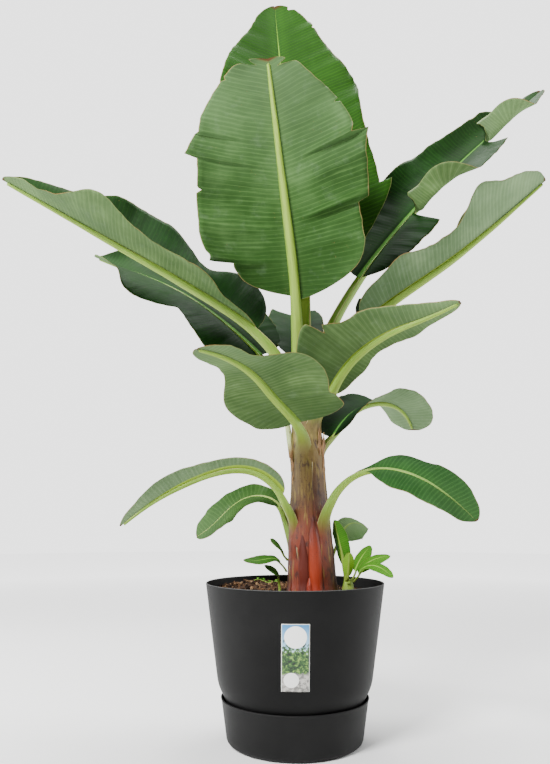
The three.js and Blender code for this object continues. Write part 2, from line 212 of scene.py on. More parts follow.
sky = bpy.data.worlds.new("sky")
sky.use_nodes = True
direct = Wire(sky.node_tree, sky.node_tree.nodes.new("ShaderNodeLightPath").outputs[0])
sky.node_tree.nodes["Background"].inputs["Color"].default_value = (1.0, 1.0, 1.0, 1.0)
plug(sky.node_tree, sky.node_tree.nodes["Background"].inputs["Strength"], 0.38 + 2.3 * direct)
bpy.context.scene.world = sky

for name, place, aim, size, power in (
    ("lamp_front", (-1.5, -2.0, 2.6), (0.0, 0.0, 0.9), 0.9, 225),
    ("lamp_left", (-2.5, 0.5, 1.2), (0.0, 0.0, 0.7), 1.2, 50),
    ("lamp_right", (2.5, 0.5, 1.2), (0.0, 0.0, 0.7), 1.2, 40),
    ("lamp_above", (0.3, 0.8, 3.4), (0.0, 0.0, 1.0), 1.2, 150),
):
    lamp = bpy.data.objects.new(name, bpy.data.lights.new(name, "AREA"))
    lamp.location = place
    lamp.rotation_euler = (Vector(aim) - Vector(place)).to_track_quat("-Z", "Y").to_euler()
    lamp.data.size = size
    lamp.data.energy = power
    bpy.context.scene.collection.objects.link(lamp)

ground = bmesh.new()
bmesh.ops.create_circle(ground, cap_ends=True, segments=96, radius=9.0)
bmesh.ops.translate(ground, vec=(0, 0, -0.0006), verts=ground.verts)
floor_paint = Finish("floor_paint", Roughness=0.9, Emission_Strength=1.0)
floor_paint.feed("Base Color", (0.88, 0.88, 0.875, 1.0))
east, north, _ = floor_paint.split(floor_paint.place())
far = ((east * east + north * north) ** 0.5) / 4.5
glows = ((0.10, 0.0), (0.45, 0.55), (1.0, 2.1))
stops = [(where, (glow, glow, glow, 1.0)) for where, glow in glows]
floor_paint.feed("Emission Color", floor_paint.ramp(far, *stops))
stand("floor", meshed(ground, "floor"), floor_paint)


# ---- Planter --------------------------------------------------------------------------------
# A moulded plastic pot, 390 mm over its rim and 347 mm tall. The wall is nearly straight down
# to the waist, then rounds in to a narrower foot inside the saucer.


def turned(name, profile):
    """A body of revolution about Z from a closed profile of (radius, height) in millimetres."""
    form = bmesh.new()
    points = [form.verts.new((r * MM, 0, z * MM)) for r, z in profile]
    line = [form.edges.new(pair) for pair in zip(points, points[1:])]
    bmesh.ops.spin(
        form, geom=points + line, axis=(0, 0, 1), cent=(0, 0, 0),
        angle=2 * math.pi, steps=192, use_merge=True,
    )
    bmesh.ops.remove_doubles(form, verts=form.verts, dist=1e-6)
    bmesh.ops.recalc_face_normals(form, faces=form.faces)
    mesh = meshed(form, name)
    mesh.shade_smooth()
    mesh.set_sharp_from_angle(angle=math.radians(30))
    return mesh


def arc(centre_r, centre_z, radius, start, end, count=5):
    """Points of a rounded corner for a turned profile."""
    turns = [math.radians(start + (end - start) * k / count) for k in range(count + 1)]
    return [(centre_r + radius * math.cos(t), centre_z + radius * math.sin(t)) for t in turns]


def settle(piece, slot, *nodes):
    """The piece rides with the plant and stands for the CAD nodes. The slot is not used."""
    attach(piece, "root")
    if nodes:
        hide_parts(*nodes)


planter_profile = [
    (0, 4.6), (122, 4.6), *arc(122, 16.5, 12, -90, -15),
    (138, 40), (142.2, 60), (147, 80), (151.2, 91), (155.4, 101), (158.8, 108), (162, 115),
    (164.9, 122), (167.2, 129), (168.9, 136.5), (170.1, 144), (171, 151), (181.8, 240),
    (194.0, 343.2), *arc(192.5, 345.2, 1.7, -25, 180, 9),
    (190.4, 340), (166, 141), (152, 102), (137, 50), *arc(118, 22, 12, -10, -90), (0, 10),
]
planter = Finish("planter_plastic", Roughness=0.5, Specular_IOR_Level=0.12)
place = planter.place()
grain = planter.noise(place, 950, 2)
cloud = planter.noise(place, 14, 3)
colour = planter.ramp(
    cloud * 0.6 + grain * 0.4,
    (0.3, "0c0c0c"), (0.55, "111111"), (0.75, "181818"),
)
# Painted highlight: a thin lighter band round the top of the rim.
painted_rim_highlight = planter.split(place)[2].step(0.3452, 0.3464)
planter.feed("Base Color", planter.blend(painted_rim_highlight, colour, "4a4a4a"))
planter.feed("Roughness", 0.44 + 0.14 * grain + 0.08 * cloud)
planter.relief(grain, 0.00025)
planter_mesh = turned("planter", planter_profile)
settle(stand("planter", planter_mesh, planter), "planter", "pot")


# ---- Saucer ---------------------------------------------------------------------------------
# A separate moulded ring with a closed floor, 324 mm over its rim. The planter's foot drops
# into it and leaves a narrow dark gap all round.

saucer_profile = [
    (0, 0), (134, 0), *arc(138, 12, 12, -90, -12, 6),
    (151.2, 20), (160.3, 92), *arc(160, 97, 2.0, 0, 180, 8),
    (157.4, 92), (148, 18), *arc(138, 14, 8, -10, -90), (0, 4.1),
]
saucer = Finish("saucer_plastic", Roughness=0.5, Specular_IOR_Level=0.11)
place = saucer.place()
grain = saucer.noise(place, 900, 2)
cloud = saucer.noise(place, 11, 3)
height = saucer.split(place)[2]
scuff = saucer.noise(place, 60, 4) * height.step(0.02, 0.0)
saucer.feed("Base Color", saucer.ramp(
    cloud * 0.5 + grain * 0.4 + scuff * 0.25,
    (0.3, "151515"), (0.55, "1b1b1b"), (0.8, "272727"),
))
saucer.feed("Roughness", 0.46 + 0.16 * grain)
saucer.relief(grain, 0.0003)
saucer_mesh = turned("saucer_dish", saucer_profile)
settle(stand("saucer_dish", saucer_mesh, saucer), "saucer", "saucer")


# ---- Label ----------------------------------------------------------------------------------
# A thin printed film on the front of the wall, 55 mm wide and 134 mm tall. Its print is generic:
# soft blocks of blue, green and grey with two pale discs, inside a pale border.


def points_of(mesh):
    """Where a mesh's points are, one row each."""
    points = np.empty(len(mesh.vertices) * 3)
    mesh.vertices.foreach_get("co", points)
    return points.reshape(-1, 3)


def sheet(name, along, across):
    """A fine grid, with the place of each of its points along it and across it, 0 to 1."""
    form = bmesh.new()
    bmesh.ops.create_grid(form, x_segments=along, y_segments=across, size=1.0)
    mesh = meshed(form, name)
    mesh.shade_smooth()
    flat = points_of(mesh) / 2 + 0.5
    return mesh, flat[:, 0], flat[:, 1]


def shape(mesh, points, **marks):
    """Moves a mesh's points, given in millimetres, and writes marks that its finish reads.

    A mark is a number for each point, or one number for them all.
    """
    mesh.vertices.foreach_set("co", (np.asarray(points) * MM).ravel())
    for name, values in marks.items():
        layer = mesh.attributes.new(name, "FLOAT", "POINT")
        layer.data.foreach_set("value", np.full(len(points), values, dtype=np.float32))
    mesh.update()


def thicken(piece, depth, under=0):
    """Gives a sheet its thickness, half to each side. Its underside takes finish number under."""
    solid = piece.modifiers.new("thickness", "SOLIDIFY")
    solid.thickness = depth * MM
    solid.offset = 0
    solid.material_offset = under


label_mesh, up, along = sheet("label_film", 48, 24)
LABEL_WIDTH, LABEL_HEIGHT, LABEL_FOOT, LABEL_MIDDLE = 55, 134, 149, -4
STAND_OFF = 0.6
label_x = LABEL_MIDDLE + LABEL_WIDTH * (0.5 - along)
label_z = LABEL_FOOT + LABEL_HEIGHT * up
label_radius = 171.0 + (label_z - 151) * (181.8 - 171.0) / (240 - 151) + STAND_OFF
shape(label_mesh, np.stack([label_x, -np.sqrt(label_radius**2 - label_x**2), label_z], 1))
label_film = Finish("label_film", Roughness=0.35)
across, _, height = label_film.split(label_film.place())
across = across - LABEL_MIDDLE * MM
disc = ((across * across + (height - 0.257) * (height - 0.257)) ** 0.5).step(0.0222, 0.0217)
print_grain = label_film.noise(label_film.place(), 150, 4, 0.65)
blue = label_film.ramp(
    height, (0.205, "dfe6e4"), (0.235, "9cc6dc"), (0.28, "2c7db5"),
)
foliage = label_film.ramp(
    print_grain, (0.38, "0c1c10"), (0.5, "2a5420"), (0.64, "7da045"),
)
canopy = (height + (print_grain - 0.5) * 0.10).step(0.243, 0.236)
colour = label_film.blend(canopy, blue, foliage)
paving = label_film.blend(print_grain.step(0.4, 0.6), "6f6e6a", "b7b4ad")
colour = label_film.blend((height + (print_grain - 0.5) * 0.03).step(0.186, 0.183), colour, paving)
small = ((across + 0.008) * (across + 0.008) + (height - 0.172) * (height - 0.172)) ** 0.5
colour = label_film.blend(small.step(0.0152, 0.0147), colour, "e9e9e5")
colour = label_film.blend(disc, colour, "f4f5f2")
frame_edge = abs(across).step(0.0262, 0.0266) + height.step(0.2815, 0.2819)
label_film.feed("Base Color", label_film.blend(frame_edge, colour, "e4e6e0"))
label_piece = stand("label_film", label_mesh, label_film)
thicken(label_piece, 0.5)
settle(label_piece, "label", "label")


# ---- Soil -----------------------------------------------------------------------------------
# Coarse brown potting soil, a few centimetres below the rim and heaped at the back on the
# left. Its surface is lumpy, with loose crumbs of bark and peat on it.

SOIL_SPAN, SOIL_LEVEL, SOIL_FOOT = 186.5, 321, 0.240


def ground_height(x, y):
    """The soil's level, with a low heap behind the stem on the left."""
    heap = 16 * np.exp(-((x + 95) ** 2 + (y - 105) ** 2) / (2 * 75**2))
    return SOIL_LEVEL + heap


def soft_noise(x, y, seed):
    """Smooth random heights between -1 and 1, one lump to each unit of x and y."""
    table = np.random.RandomState(seed).uniform(-1, 1, (64, 64))
    i, j = np.floor(x).astype(int), np.floor(y).astype(int)
    f, g = x - i, y - j
    f, g = f * f * (3 - 2 * f), g * g * (3 - 2 * g)
    low = table[i % 64, j % 64] * (1 - f) + table[(i + 1) % 64, j % 64] * f
    high = table[i % 64, (j + 1) % 64] * (1 - f) + table[(i + 1) % 64, (j + 1) % 64] * f
    return low * (1 - g) + high * g


soil_mesh, east, north = sheet("soil_bed", 150, 150)
east, north = 2 * east - 1, 2 * north - 1
soil_x = SOIL_SPAN * east * np.sqrt(1 - north**2 / 2)
soil_y = SOIL_SPAN * north * np.sqrt(1 - east**2 / 2)
lumps = sum(
    soft_noise(soil_x / size + seed, soil_y / size, seed) * rise
    for size, rise, seed in ((34, 3.0, 1), (13, 2.2, 2), (6, 1.4, 3))
)
shape(soil_mesh, np.stack([soil_x, soil_y, ground_height(soil_x, soil_y) + lumps - 1.5], 1))
form = bmesh.new()
form.from_mesh(soil_mesh)
skirt = bmesh.ops.extrude_edge_only(form, edges=[e for e in form.edges if e.is_boundary])["geom"]
for vert in (v for v in skirt if isinstance(v, bmesh.types.BMVert)):
    vert.co = (vert.co.x * 0.96, vert.co.y * 0.96, SOIL_FOOT)
bmesh.ops.edgeloop_fill(form, edges=[e for e in form.edges if e.is_boundary])
bmesh.ops.recalc_face_normals(form, faces=form.faces)
form.to_mesh(soil_mesh)
form.free()

soil = Finish("potting_soil", Roughness=0.95, Specular_IOR_Level=0.25)
place = soil.place()
clods = soil.noise(place, 130, 5, 0.65)
specks = soil.noise(place, 600, 3)
soil.feed("Base Color", soil.ramp(
    clods * 0.7 + specks * 0.3,
    (0.34, "170f0a"), (0.48, "322115"), (0.6, "533926"), (0.72, "7a5c41"),
))
soil.relief(clods * 0.6 + specks * 0.4, 0.003)
settle(stand("soil_bed", soil_mesh, soil), "soil", "soil")

crumb_form = bmesh.new()
bmesh.ops.create_icosphere(crumb_form, subdivisions=1, radius=1.0)
CRUMB_DOUBLINGS, CRUMB_POINTS = 11, 12
for _ in range(CRUMB_DOUBLINGS):
    bmesh.ops.duplicate(crumb_form, geom=[*crumb_form.verts, *crumb_form.edges, *crumb_form.faces])
crumb_mesh = meshed(crumb_form, "soil_crumbs")
pick = np.random.RandomState(11)
crumbs = points_of(crumb_mesh).reshape(-1, CRUMB_POINTS, 3)
crumbs += pick.uniform(-0.25, 0.25, crumbs.shape)
crumbs *= pick.uniform((0.7, 0.7, 0.4), (2.0, 1.1, 0.9), (len(crumbs), 3))[:, None]
axes = np.linalg.qr(pick.normal(size=(len(crumbs), 3, 3)))[0]
crumbs = np.einsum("nij,nkj->nki", axes, crumbs)
crumbs = crumbs * pick.uniform(1.3, 4.6, len(crumbs))[:, None, None]
turn = pick.uniform(0, 2 * math.pi, len(crumbs))
reach = SOIL_SPAN * 0.965 * np.sqrt(pick.uniform(0.01, 1, len(crumbs)))
x, y = reach * np.cos(turn), reach * np.sin(turn)
z = ground_height(x, y) + pick.uniform(-2.0, 2.0, len(crumbs))
# Crumbs that would stand in the stem or in the shoot's foot sink into the soil instead.
SUNK = 300
z[np.hypot(x - 40, y) < 54] = SUNK
z[np.hypot(x - 115, y + 20) < 20] = SUNK
crumbs += np.stack([x, y, z], 1)[:, None]
tone = np.repeat(pick.uniform(0, 1, len(crumbs)), CRUMB_POINTS)
shape(crumb_mesh, crumbs.reshape(-1, 3), tone=tone)
crumb_finish = Finish("bark_crumbs", Roughness=0.9, Specular_IOR_Level=0.25)
crumb_finish.feed("Base Color", crumb_finish.ramp(
    crumb_finish.mark("tone"),
    (0.0, "1c120c"), (0.45, "3e2919"), (0.8, "66472e"), (1.0, "937655"),
))
settle(stand("soil_crumbs", crumb_mesh, crumb_finish), "soil")


# ---- Stem and leaf stalks -------------------------------------------------------------------
# The false stem is a roll of leaf sheaths, one round another. Each sheath narrows near its top
# to a channelled stalk, and the stalk runs on under the blade as its rib.
#   foot, length, climb, azimuth: where the stalk leaves the stem, and the line that it follows
#   start: share of the line at which the blade begins      facing: which way the blade looks

LEAVES = {
    "front_upright": dict(
        foot=(10, -10, 745), length=665, climb=(67, 74, 78, 78, 79),
        azimuth=(-97, -102, -129, -129, -131), start=0.31, facing=-90,
        stalk=(17, 11, 9, 6, 3),
    ),
    "back_upright": dict(
        foot=(20, 5, 745), length=1035, climb=(77, 80, 79, 78, 77),
        azimuth=(81, 93, 132, 114, 110), start=0.24, facing=90,
        stalk=(18, 12, 9, 6, 3),
    ),
    "left_long": dict(
        foot=(15, -20, 740), length=755, climb=(72, 36, 27, 27, 27),
        azimuth=(-141, -168, -168, -171, -171), start=0.24, facing=186,
        stalk=(18, 11, 8.5, 6, 3),
    ),
    "left_back": dict(
        foot=(5, 20, 750), length=645, climb=(57, 45, 37, 25, 22),
        azimuth=(148, 163, 161, 166, 169), start=0.22, facing=150,
        stalk=(17, 11, 8.5, 6, 3),
    ),
    "right_high": dict(
        foot=(25, 25, 750), length=1060, climb=(77, 57, 49, 44, 42),
        azimuth=(42, 26, 16, 14, 12), start=0.32, facing=38,
        stalk=(18, 12, 9, 6, 3),
    ),
    "right_mid": dict(
        foot=(35, -5, 745), length=655, climb=(72, 43, 32, 38, 40),
        azimuth=(-24, -14, -11, -11, -10), start=0.3, facing=-8,
        stalk=(17, 11, 8.5, 6, 3),
    ),
    "right_front": dict(
        foot=(50, -35, 675), length=415, climb=(63, 49, 25, 9, 12),
        azimuth=(-65, -53, -42, -41, -46), start=0.2, facing=-50,
        stalk=(14, 9, 7, 5, 2.5),
    ),
    "left_front": dict(
        foot=(30, -35, 620), length=425, climb=(71, 29, 22, 6, -5),
        azimuth=(-120, -128, -119, -122, -127), start=0.2, facing=-125,
        stalk=(14, 9, 7, 5, 2.5),
    ),
    "right_twisted": dict(
        foot=(60, 10, 605), length=390, climb=(71, 51, 21, -10, -59),
        azimuth=(36, 34, 34, 38, 47), start=0.18, facing=35,
        stalk=(13, 8, 6.5, 5, 2.5),
    ),
    "right_low": dict(
        foot=(55, -35, 440), length=455, climb=(86, 49, -1, -32, -46),
        azimuth=(-75, -35, -30, -34, -33), start=0.36, facing=-35,
        stalk=(15, 9, 7, 5, 2.5),
    ),
    "left_low": dict(
        foot=(10, -25, 440), length=495, climb=(76, 48, -10, -29, -42),
        azimuth=(-132, -155, -167, -169, -172), start=0.22, facing=190,
        stalk=(14, 9, 7, 5, 2.5),
    ),
    "left_lowest": dict(
        foot=(5, 15, 395), length=370, climb=(74, 70, 4, -44, -31),
        azimuth=(152, 147, 159, 173, 171), start=0.34, facing=165,
        stalk=(13, 8, 6, 4.5, 2.5),
    ),
    "back_arching": dict(
        foot=(20, 25, 750), length=430, climb=(61, 55, 49, 30, 4),
        azimuth=(88, 95, 95, 94, 95), start=0.28, facing=92,
        stalk=(14, 9, 7, 5, 2.5),
    ),
    "back_drooping": dict(
        foot=(20, 20, 595), length=315, climb=(66, 56, 42, -5, -51),
        azimuth=(88, 88, 88, 88, 88), start=0.26, facing=88,
        stalk=(12, 8, 6, 4.5, 2.5),
    ),
}

STEM_LEAN = (40, 34, 29.5, 25, 21)
STEM_RADIUS = (53, 47, 38, 33, 23)
STEM_SPAN = (311, 845)


def through(values, u):
    """The value at u (0 to 1) of a smooth line through values at even stations."""
    values = np.asarray(values, dtype=float)
    if values.ndim == 0 or len(values) == 1:
        return np.full_like(u, float(values))
    line = np.concatenate(([2 * values[0] - values[1]], values, [2 * values[-1] - values[-2]]))
    place = np.clip(u, 0, 1) * (len(values) - 1)
    i = np.minimum(place.astype(int), len(values) - 2)
    w = place - i
    a, b, c, d = line[i], line[i + 1], line[i + 2], line[i + 3]
    return b + 0.5 * w * ((c - a) + w * ((2 * a - 5 * b + 4 * c - d) + w * (3 * (b - c) + d - a)))


def smooth(x, start, end):
    """0 up to start, 1 from end on, smooth between."""
    t = np.clip((np.asarray(x, dtype=float) - start) / (end - start), 0, 1)
    return t * t * (3 - 2 * t)


def unit(v):
    """Each row with its length made 1."""
    return v / np.linalg.norm(v, axis=-1, keepdims=True)


def walked(leaf, s):
    """Places on a leaf's line at s, with its direction, its left side and its upper normal."""
    steps = 480
    middle = (np.arange(steps) + 0.5) / steps
    climb = np.radians(through(leaf["climb"], middle))
    azimuth = np.radians(through(leaf["azimuth"], middle))
    ahead = np.stack(
        [np.cos(climb) * np.cos(azimuth), np.cos(climb) * np.sin(azimuth), np.sin(climb)], 1
    )
    line = np.vstack([[0, 0, 0], np.cumsum(ahead, 0)]) * leaf["length"] / steps + leaf["foot"]
    knots = np.linspace(0, 1, steps + 1)
    point = np.stack([np.interp(s, knots, line[:, i]) for i in range(3)], 1)
    ahead = unit(np.stack([np.interp(s, middle, ahead[:, i]) for i in range(3)], 1))
    facing = math.radians(leaf["facing"])
    left = np.array([-math.sin(facing), math.cos(facing), 0.0])
    left = unit(left - (ahead @ left)[:, None] * ahead)
    return point, ahead, left, np.cross(ahead, left)


def stem_at(z):
    """The x of the stem's axis and the stem's radius at heights z."""
    u = (z - STEM_SPAN[0]) / (STEM_SPAN[1] - STEM_SPAN[0])
    return through(STEM_LEAN, u), through(STEM_RADIUS, u)


def flare_at(z):
    """How much wider the stem is where it meets the soil."""
    return 1 + 0.10 * smooth(z, 352, 308)


def tube(name, rings, around):
    """The side of a cylinder with closed ends, its points in rings from the foot to the tip."""
    form = bmesh.new()
    bmesh.ops.create_cone(
        form, cap_ends=True, segments=around, radius1=1.0, radius2=1.0, depth=2.0,
    )
    upright = [e for e in form.edges if abs(e.verts[0].co.z - e.verts[1].co.z) > 1]
    bmesh.ops.subdivide_edges(form, edges=upright, cuts=rings - 2, use_grid_fill=True)
    mesh = meshed(form, name)
    mesh.shade_smooth()
    flat = points_of(mesh)
    ring = np.rint((flat[:, 2] + 1) / 2 * (rings - 1)).astype(int)
    turn = np.arctan2(flat[:, 1], flat[:, 0]) / (2 * math.pi)
    return mesh, ring, np.rint(turn * around).astype(int) % around


ORDER = (
    "left_lowest", "right_low", "left_low", "back_drooping", "right_twisted", "left_front",
    "right_front", "left_long", "right_mid", "front_upright", "left_back", "right_high",
    "back_arching", "back_upright",
)
# Where a sheath starts, and how far round the stem it reaches on its left and on its right.
SHEATHS = {
    "left_lowest": (311, 62, 120), "right_low": (311, 130, 47), "left_low": (311, 72, 130),
    "back_drooping": (330, 120, 110), "right_twisted": (330, 130, 62),
    "left_front": (340, 44, 110), "right_front": (350, 120, 60), "right_mid": (380, 110, 75),
}
# How olive a sheath is, from 0 to 1; the rest of its colour is red.
HUES = {
    "left_lowest": 0.35, "right_low": 0.65, "left_low": 0.55, "right_twisted": 0.45,
    "left_front": 0.6, "right_front": 0.1,
}

sheath = Finish("sheath_and_stalk", Roughness=0.5, Specular_IOR_Level=0.35)
place = sheath.place()
height = sheath.mark("level")
around = sheath.mark("around")
along = sheath.mark("along")
margin = sheath.mark("margin")
inside = sheath.mark("inside")
hue = sheath.mark("hue")
fibre = sheath.noise(sheath.join(around * 0.55, along * 0.016, inside * 5.0), 1.0, 3, 0.6)
fine_fibre = sheath.noise(sheath.join(around * 2.2, along * 0.03, 0.0), 1.0, 2)
cloud = sheath.noise(place, 30, 4, 0.6)
patch = sheath.noise(sheath.join(around * 0.05, along * 0.012, 0.0), 1.0, 3)
level = height + (cloud - 0.5) * 0.07 + (patch - 0.5) * 0.12
olive = sheath.ramp(
    level,
    (0.31, "43190f"), (0.38, "432214"), (0.44, "4b3119"),
    (0.50, "56421c"), (0.58, "675522"), (0.68, "6f742c"), (0.78, "7f983c"),
)
red = sheath.ramp(
    level,
    (0.31, "631c10"), (0.40, "4c1a13"), (0.48, "341613"),
    (0.54, "472917"), (0.60, "634622"), (0.68, "6b602b"), (0.76, "728636"),
)
bark = sheath.blend(hue, red, olive)
green = sheath.ramp(
    fibre * 0.5 + fine_fibre * 0.5,
    (0.3, "52761f"), (0.5, "70932c"), (0.75, "90ab48"),
)
keel = abs(sheath.mark("keel")).step(0.75, 0.15)
green = sheath.blend(keel * 0.4, green, "93a93a")
east, north, _ = sheath.split(place)
middle = abs(east - 0.024).step(0.078, 0.022) * north.step(0.0, -0.02) * height.step(0.555, 0.43)
bark = sheath.blend(middle * 0.85, bark, "742a14")
colour = sheath.blend(along.step(0, 95), bark, green)
bruise = sheath.noise(sheath.join(around * 0.10, along * 0.035, 3.0), 1.0, 4, 0.65)
aged = 1 - along.step(-20, 50)
# Dark brown band high on the stem near the stalk feet: partly dead sheath, partly painted shade
# under the blades.
dead_sheath_and_shade = height.step(0.655, 0.69) * height.step(0.80, 0.74) * (1 - along.step(-10, 60))
colour = sheath.blend(dead_sheath_and_shade * cloud.step(0.35, 0.5) * 0.85, colour, "3a2114")
colour = sheath.blend(bruise.step(0.50, 0.64) * aged * 0.85, colour, "2a1210")
colour = sheath.blend(fibre.step(0.50, 0.66) * aged * 0.55, colour, "331a12")
golden = sheath.noise(sheath.join(around * 0.13, along * 0.02, 6.0), 1.0, 3)
colour = sheath.blend(golden.step(0.54, 0.68) * aged * 0.6, colour, "8a7432")
dots = sheath.noise(sheath.join(around * 0.45, along * 0.22, 9.0), 1.0, 1)
colour = sheath.blend(dots.step(0.66, 0.72) * aged * 0.8, colour, "1f1213")
colour = sheath.blend(fine_fibre.step(0.54, 0.75) * 0.15, colour, "8e6f34")
papery = height.step(0.56, 0.66) * cloud.step(0.42, 0.56) * aged
colour = sheath.blend(papery * 0.35, colour, "8f7844")
colour = sheath.blend(margin.step(0.94, 0.98) * along.step(-45, -5), colour, "b5a878")
sheath.feed("Base Color", colour)
sheath.feed("Roughness", 0.42 + 0.25 * cloud)
sheath.relief(fibre * 0.6 + fine_fibre * 0.4, 0.0012)

RING_POINTS = 56
SHEATH_WALL = 3.2
for order, name in enumerate(ORDER):
    leaf = LEAVES[name]
    layer = (len(ORDER) - order) * 0.55
    foot_z = leaf["foot"][2]
    start_z, left_reach, right_reach = SHEATHS.get(name, (max(foot_z - 240, 420), 110, 110))
    below = (foot_z - start_z) / leaf["length"]
    rings = int((below + 1) * leaf["length"] / 4.5)
    s = np.linspace(-below, 0.985, rings)
    distance = s * leaf["length"]
    point, ahead, left, up = walked(leaf, np.clip(s, 0, 1))
    z = np.where(s < 0, foot_z + distance, point[:, 2])
    lean, stem_radius = stem_at(z)
    facing = math.radians(leaf["facing"])
    out = np.array([math.cos(facing), math.sin(facing), 0.0])
    stem_radius = stem_radius + layer - 5.5
    stem_radius = stem_radius * flare_at(z)
    on_stem = np.stack([lean, 0 * z, z], 1) + stem_radius[:, None] * out

    radius = through(leaf["stalk"], np.clip(s, 0, 1)) * 1.06
    rib = smooth(s, leaf["start"] * 0.75, leaf["start"] * 1.15)
    opened = smooth(distance, -25, 75)
    half_turn = np.radians(118 - 10 * rib)
    stalk_reach = radius * half_turn
    wrapped = smooth(distance, -150, 20)
    ragged = soft_noise(distance / 22, order, 71) * 0.02
    ragged = ragged + soft_noise(distance / 5, order, 72) * 0.008
    ragged = 1 + ragged * (1 - opened)
    curve = 1 / stem_radius + (1 / radius - 1 / stem_radius) * opened
    reaches = []
    for degrees in (left_reach, right_reach):
        reach = stalk_reach + (stem_radius * math.radians(degrees) - stalk_reach) * (1 - wrapped)
        reaches.append(np.minimum(reach * ragged * curve, math.radians(150)))
    turn_half = (reaches[0] + reaches[1]) / 2
    depth = (1 - np.cos(turn_half)) / curve
    free = point - up * (depth + 0.6)[:, None]
    leaving = smooth(distance, -10, 95)[:, None]
    base = on_stem + (free - on_stem) * leaving
    turned_up = unit(-out + (up + out) * leaving)
    turned_left = unit(np.cross(turned_up, np.cross(left, turned_up)))

    mesh, ring, spot = tube(f"stalk_{name}", rings, RING_POINTS)
    half_ring = RING_POINTS // 2
    outer_side = spot < half_ring
    v = np.where(outer_side, spot / (half_ring - 1) * 2 - 1,
                 1 - (spot - half_ring) / (half_ring - 1) * 2)
    angle = np.where(v > 0, reaches[0][ring], reaches[1][ring]) * v
    side = np.sin(angle) / curve[ring]
    rise = (1 - np.cos(angle)) / curve[ring]
    chord = depth[ring] - rise
    wall = SHEATH_WALL + (0.62 * radius[ring] - SHEATH_WALL) * opened[ring]
    wall = wall * (1 - 0.80 * np.abs(v) ** 3)
    share = rib[ring]
    inward = np.where(outer_side, 0, wall * (1 - share))
    groove = 0.16 * radius[ring] * (1 - v * v)
    side = side * (1 - inward * curve[ring])
    rise = rise + inward * np.cos(angle) + np.where(outer_side, 0, share * (chord - groove))
    inside_mark = np.where(outer_side, 0.0, 1.0)
    around_mark = angle / curve[ring]
    grain = soft_noise(around_mark / 3.2 + 9 * order, ring * 4.5 / 60, 20 + order)
    rise = rise - np.where(outer_side, 0.5 * grain * np.cos(angle), 0)
    side = side + np.where(outer_side, 0.5 * grain * np.sin(angle), 0)
    points = base[ring] + turned_left[ring] * side[:, None] + turned_up[ring] * rise[:, None]
    shape(
        mesh, points, level=points[:, 2] * MM, around=around_mark + 40 * order,
        along=distance[ring], margin=np.abs(v), inside=inside_mark, keel=v,
        hue=HUES.get(name, 0.4),
    )
    settle(stand(f"stalk_{name}", mesh, sheath), "stalk", f"stalk_{name}")


def round_axis(x, y, radius, turn, z):
    """Points that stand radius from an upright axis, at that turn round it and that height."""
    return np.stack([x + radius * np.cos(turn), y + radius * np.sin(turn), z], 1)


core_rings, core_around = 150, 72
core_mesh, ring, spot = tube("stem_core", core_rings, core_around)
z = np.linspace(*STEM_SPAN, core_rings)[ring] - 6
lean, stem_radius = stem_at(z)
turn = 2 * math.pi * spot / core_around
stem_radius = (stem_radius - 7) * (1 - 0.35 * smooth(z, 780, STEM_SPAN[1]))
stem_radius = stem_radius + 0.8 * soft_noise(spot / 2.0, z / 50, 7)
shape(
    core_mesh, round_axis(lean, 0, stem_radius, turn, z), level=z * MM, around=turn * 40, along=-60,
    margin=0, inside=0, keel=1, hue=0.1,
)
settle(stand("stem_core", core_mesh, sheath), "sheath", "pseudostem")

# Red young sheaths swell out between the margins of the two outer ones, at the front.
swelling = Finish("young_red_sheath", Roughness=0.45, Specular_IOR_Level=0.25)
height = swelling.mark("level")
around = swelling.mark("around")
fibre = swelling.noise(swelling.join(around * 0.6, height * 18.0, 0.0), 1.0, 3, 0.6)
# The ramp darkens towards the top: partly the sheath turning brown, partly painted shade.
colour = swelling.ramp(
    height + (fibre - 0.5) * 0.05,
    (0.31, "7a200c"), (0.37, "8c2e12"), (0.42, "7c2c16"), (0.48, "401811"),
)
specks = swelling.noise(swelling.join(around * 0.5, height * 260.0, 0.0), 1.0, 1)
speckled = specks.step(0.62, 0.70) * height.step(0.36, 0.44)
colour = swelling.blend(speckled * 0.8, colour, "34161a")
# Painted shade: the side edges of each red sheath are darkened.
colour = swelling.blend(swelling.mark("rim").step(0.62, 1.0) * 0.85, colour, "33130f")
# Painted highlight: a faint orange along the fibres.
colour = swelling.blend(fibre.step(0.5, 0.7) * 0.12, colour, "b05a3a")
# Painted shade: a darker red over whole sheaths, set per sheath below, most on the left one.
colour = swelling.blend(swelling.mark("dusk"), colour, "3c150f")
swelling.feed("Base Color", colour)
swelling.feed("Roughness", 0.36 + 0.2 * fibre)
swelling.relief(fibre, 0.0008)
RED_FOOT = 309
# Each sheath: name, turn, width, top, how far it stands out, and its share of painted shade.
for name, turn_at, width, top, proud, dusk in (
    ("red_sheath_middle", -83, 16.5, 494, 6.5, 0.0), ("red_sheath_left", -114, 15, 462, 1.0, 0.8),
    ("red_sheath_low", -98, 10, 366, 4.0, 0.25),
):
    mesh, across, upward = sheet(name, 20, 64)
    z = RED_FOOT + (top - RED_FOOT) * upward
    lean, stem_radius = stem_at(z)
    stem_radius = (stem_radius + 3.2) * flare_at(z)
    width_here = width * np.clip(1 - upward**2.6, 0, 1) ** 0.7
    width_here = width_here * (0.80 + 0.35 * np.sin(upward * 3.0))
    bow = 1 - (2 * across - 1) ** 2
    turn = np.radians(turn_at) + width_here * (2 * across - 1) / stem_radius
    lifted = stem_radius - 7 + (proud + 6) * bow**0.7 * np.minimum(1, width_here / width + 0.1)
    shape(
        mesh, round_axis(lean, 0, lifted, turn, z),
        level=z * MM, around=width_here * (2 * across - 1), rim=np.abs(2 * across - 1), dusk=dusk,
    )
    piece = stand(name, mesh, swelling)
    thicken(piece, 1.6)
    settle(piece, "sheath")
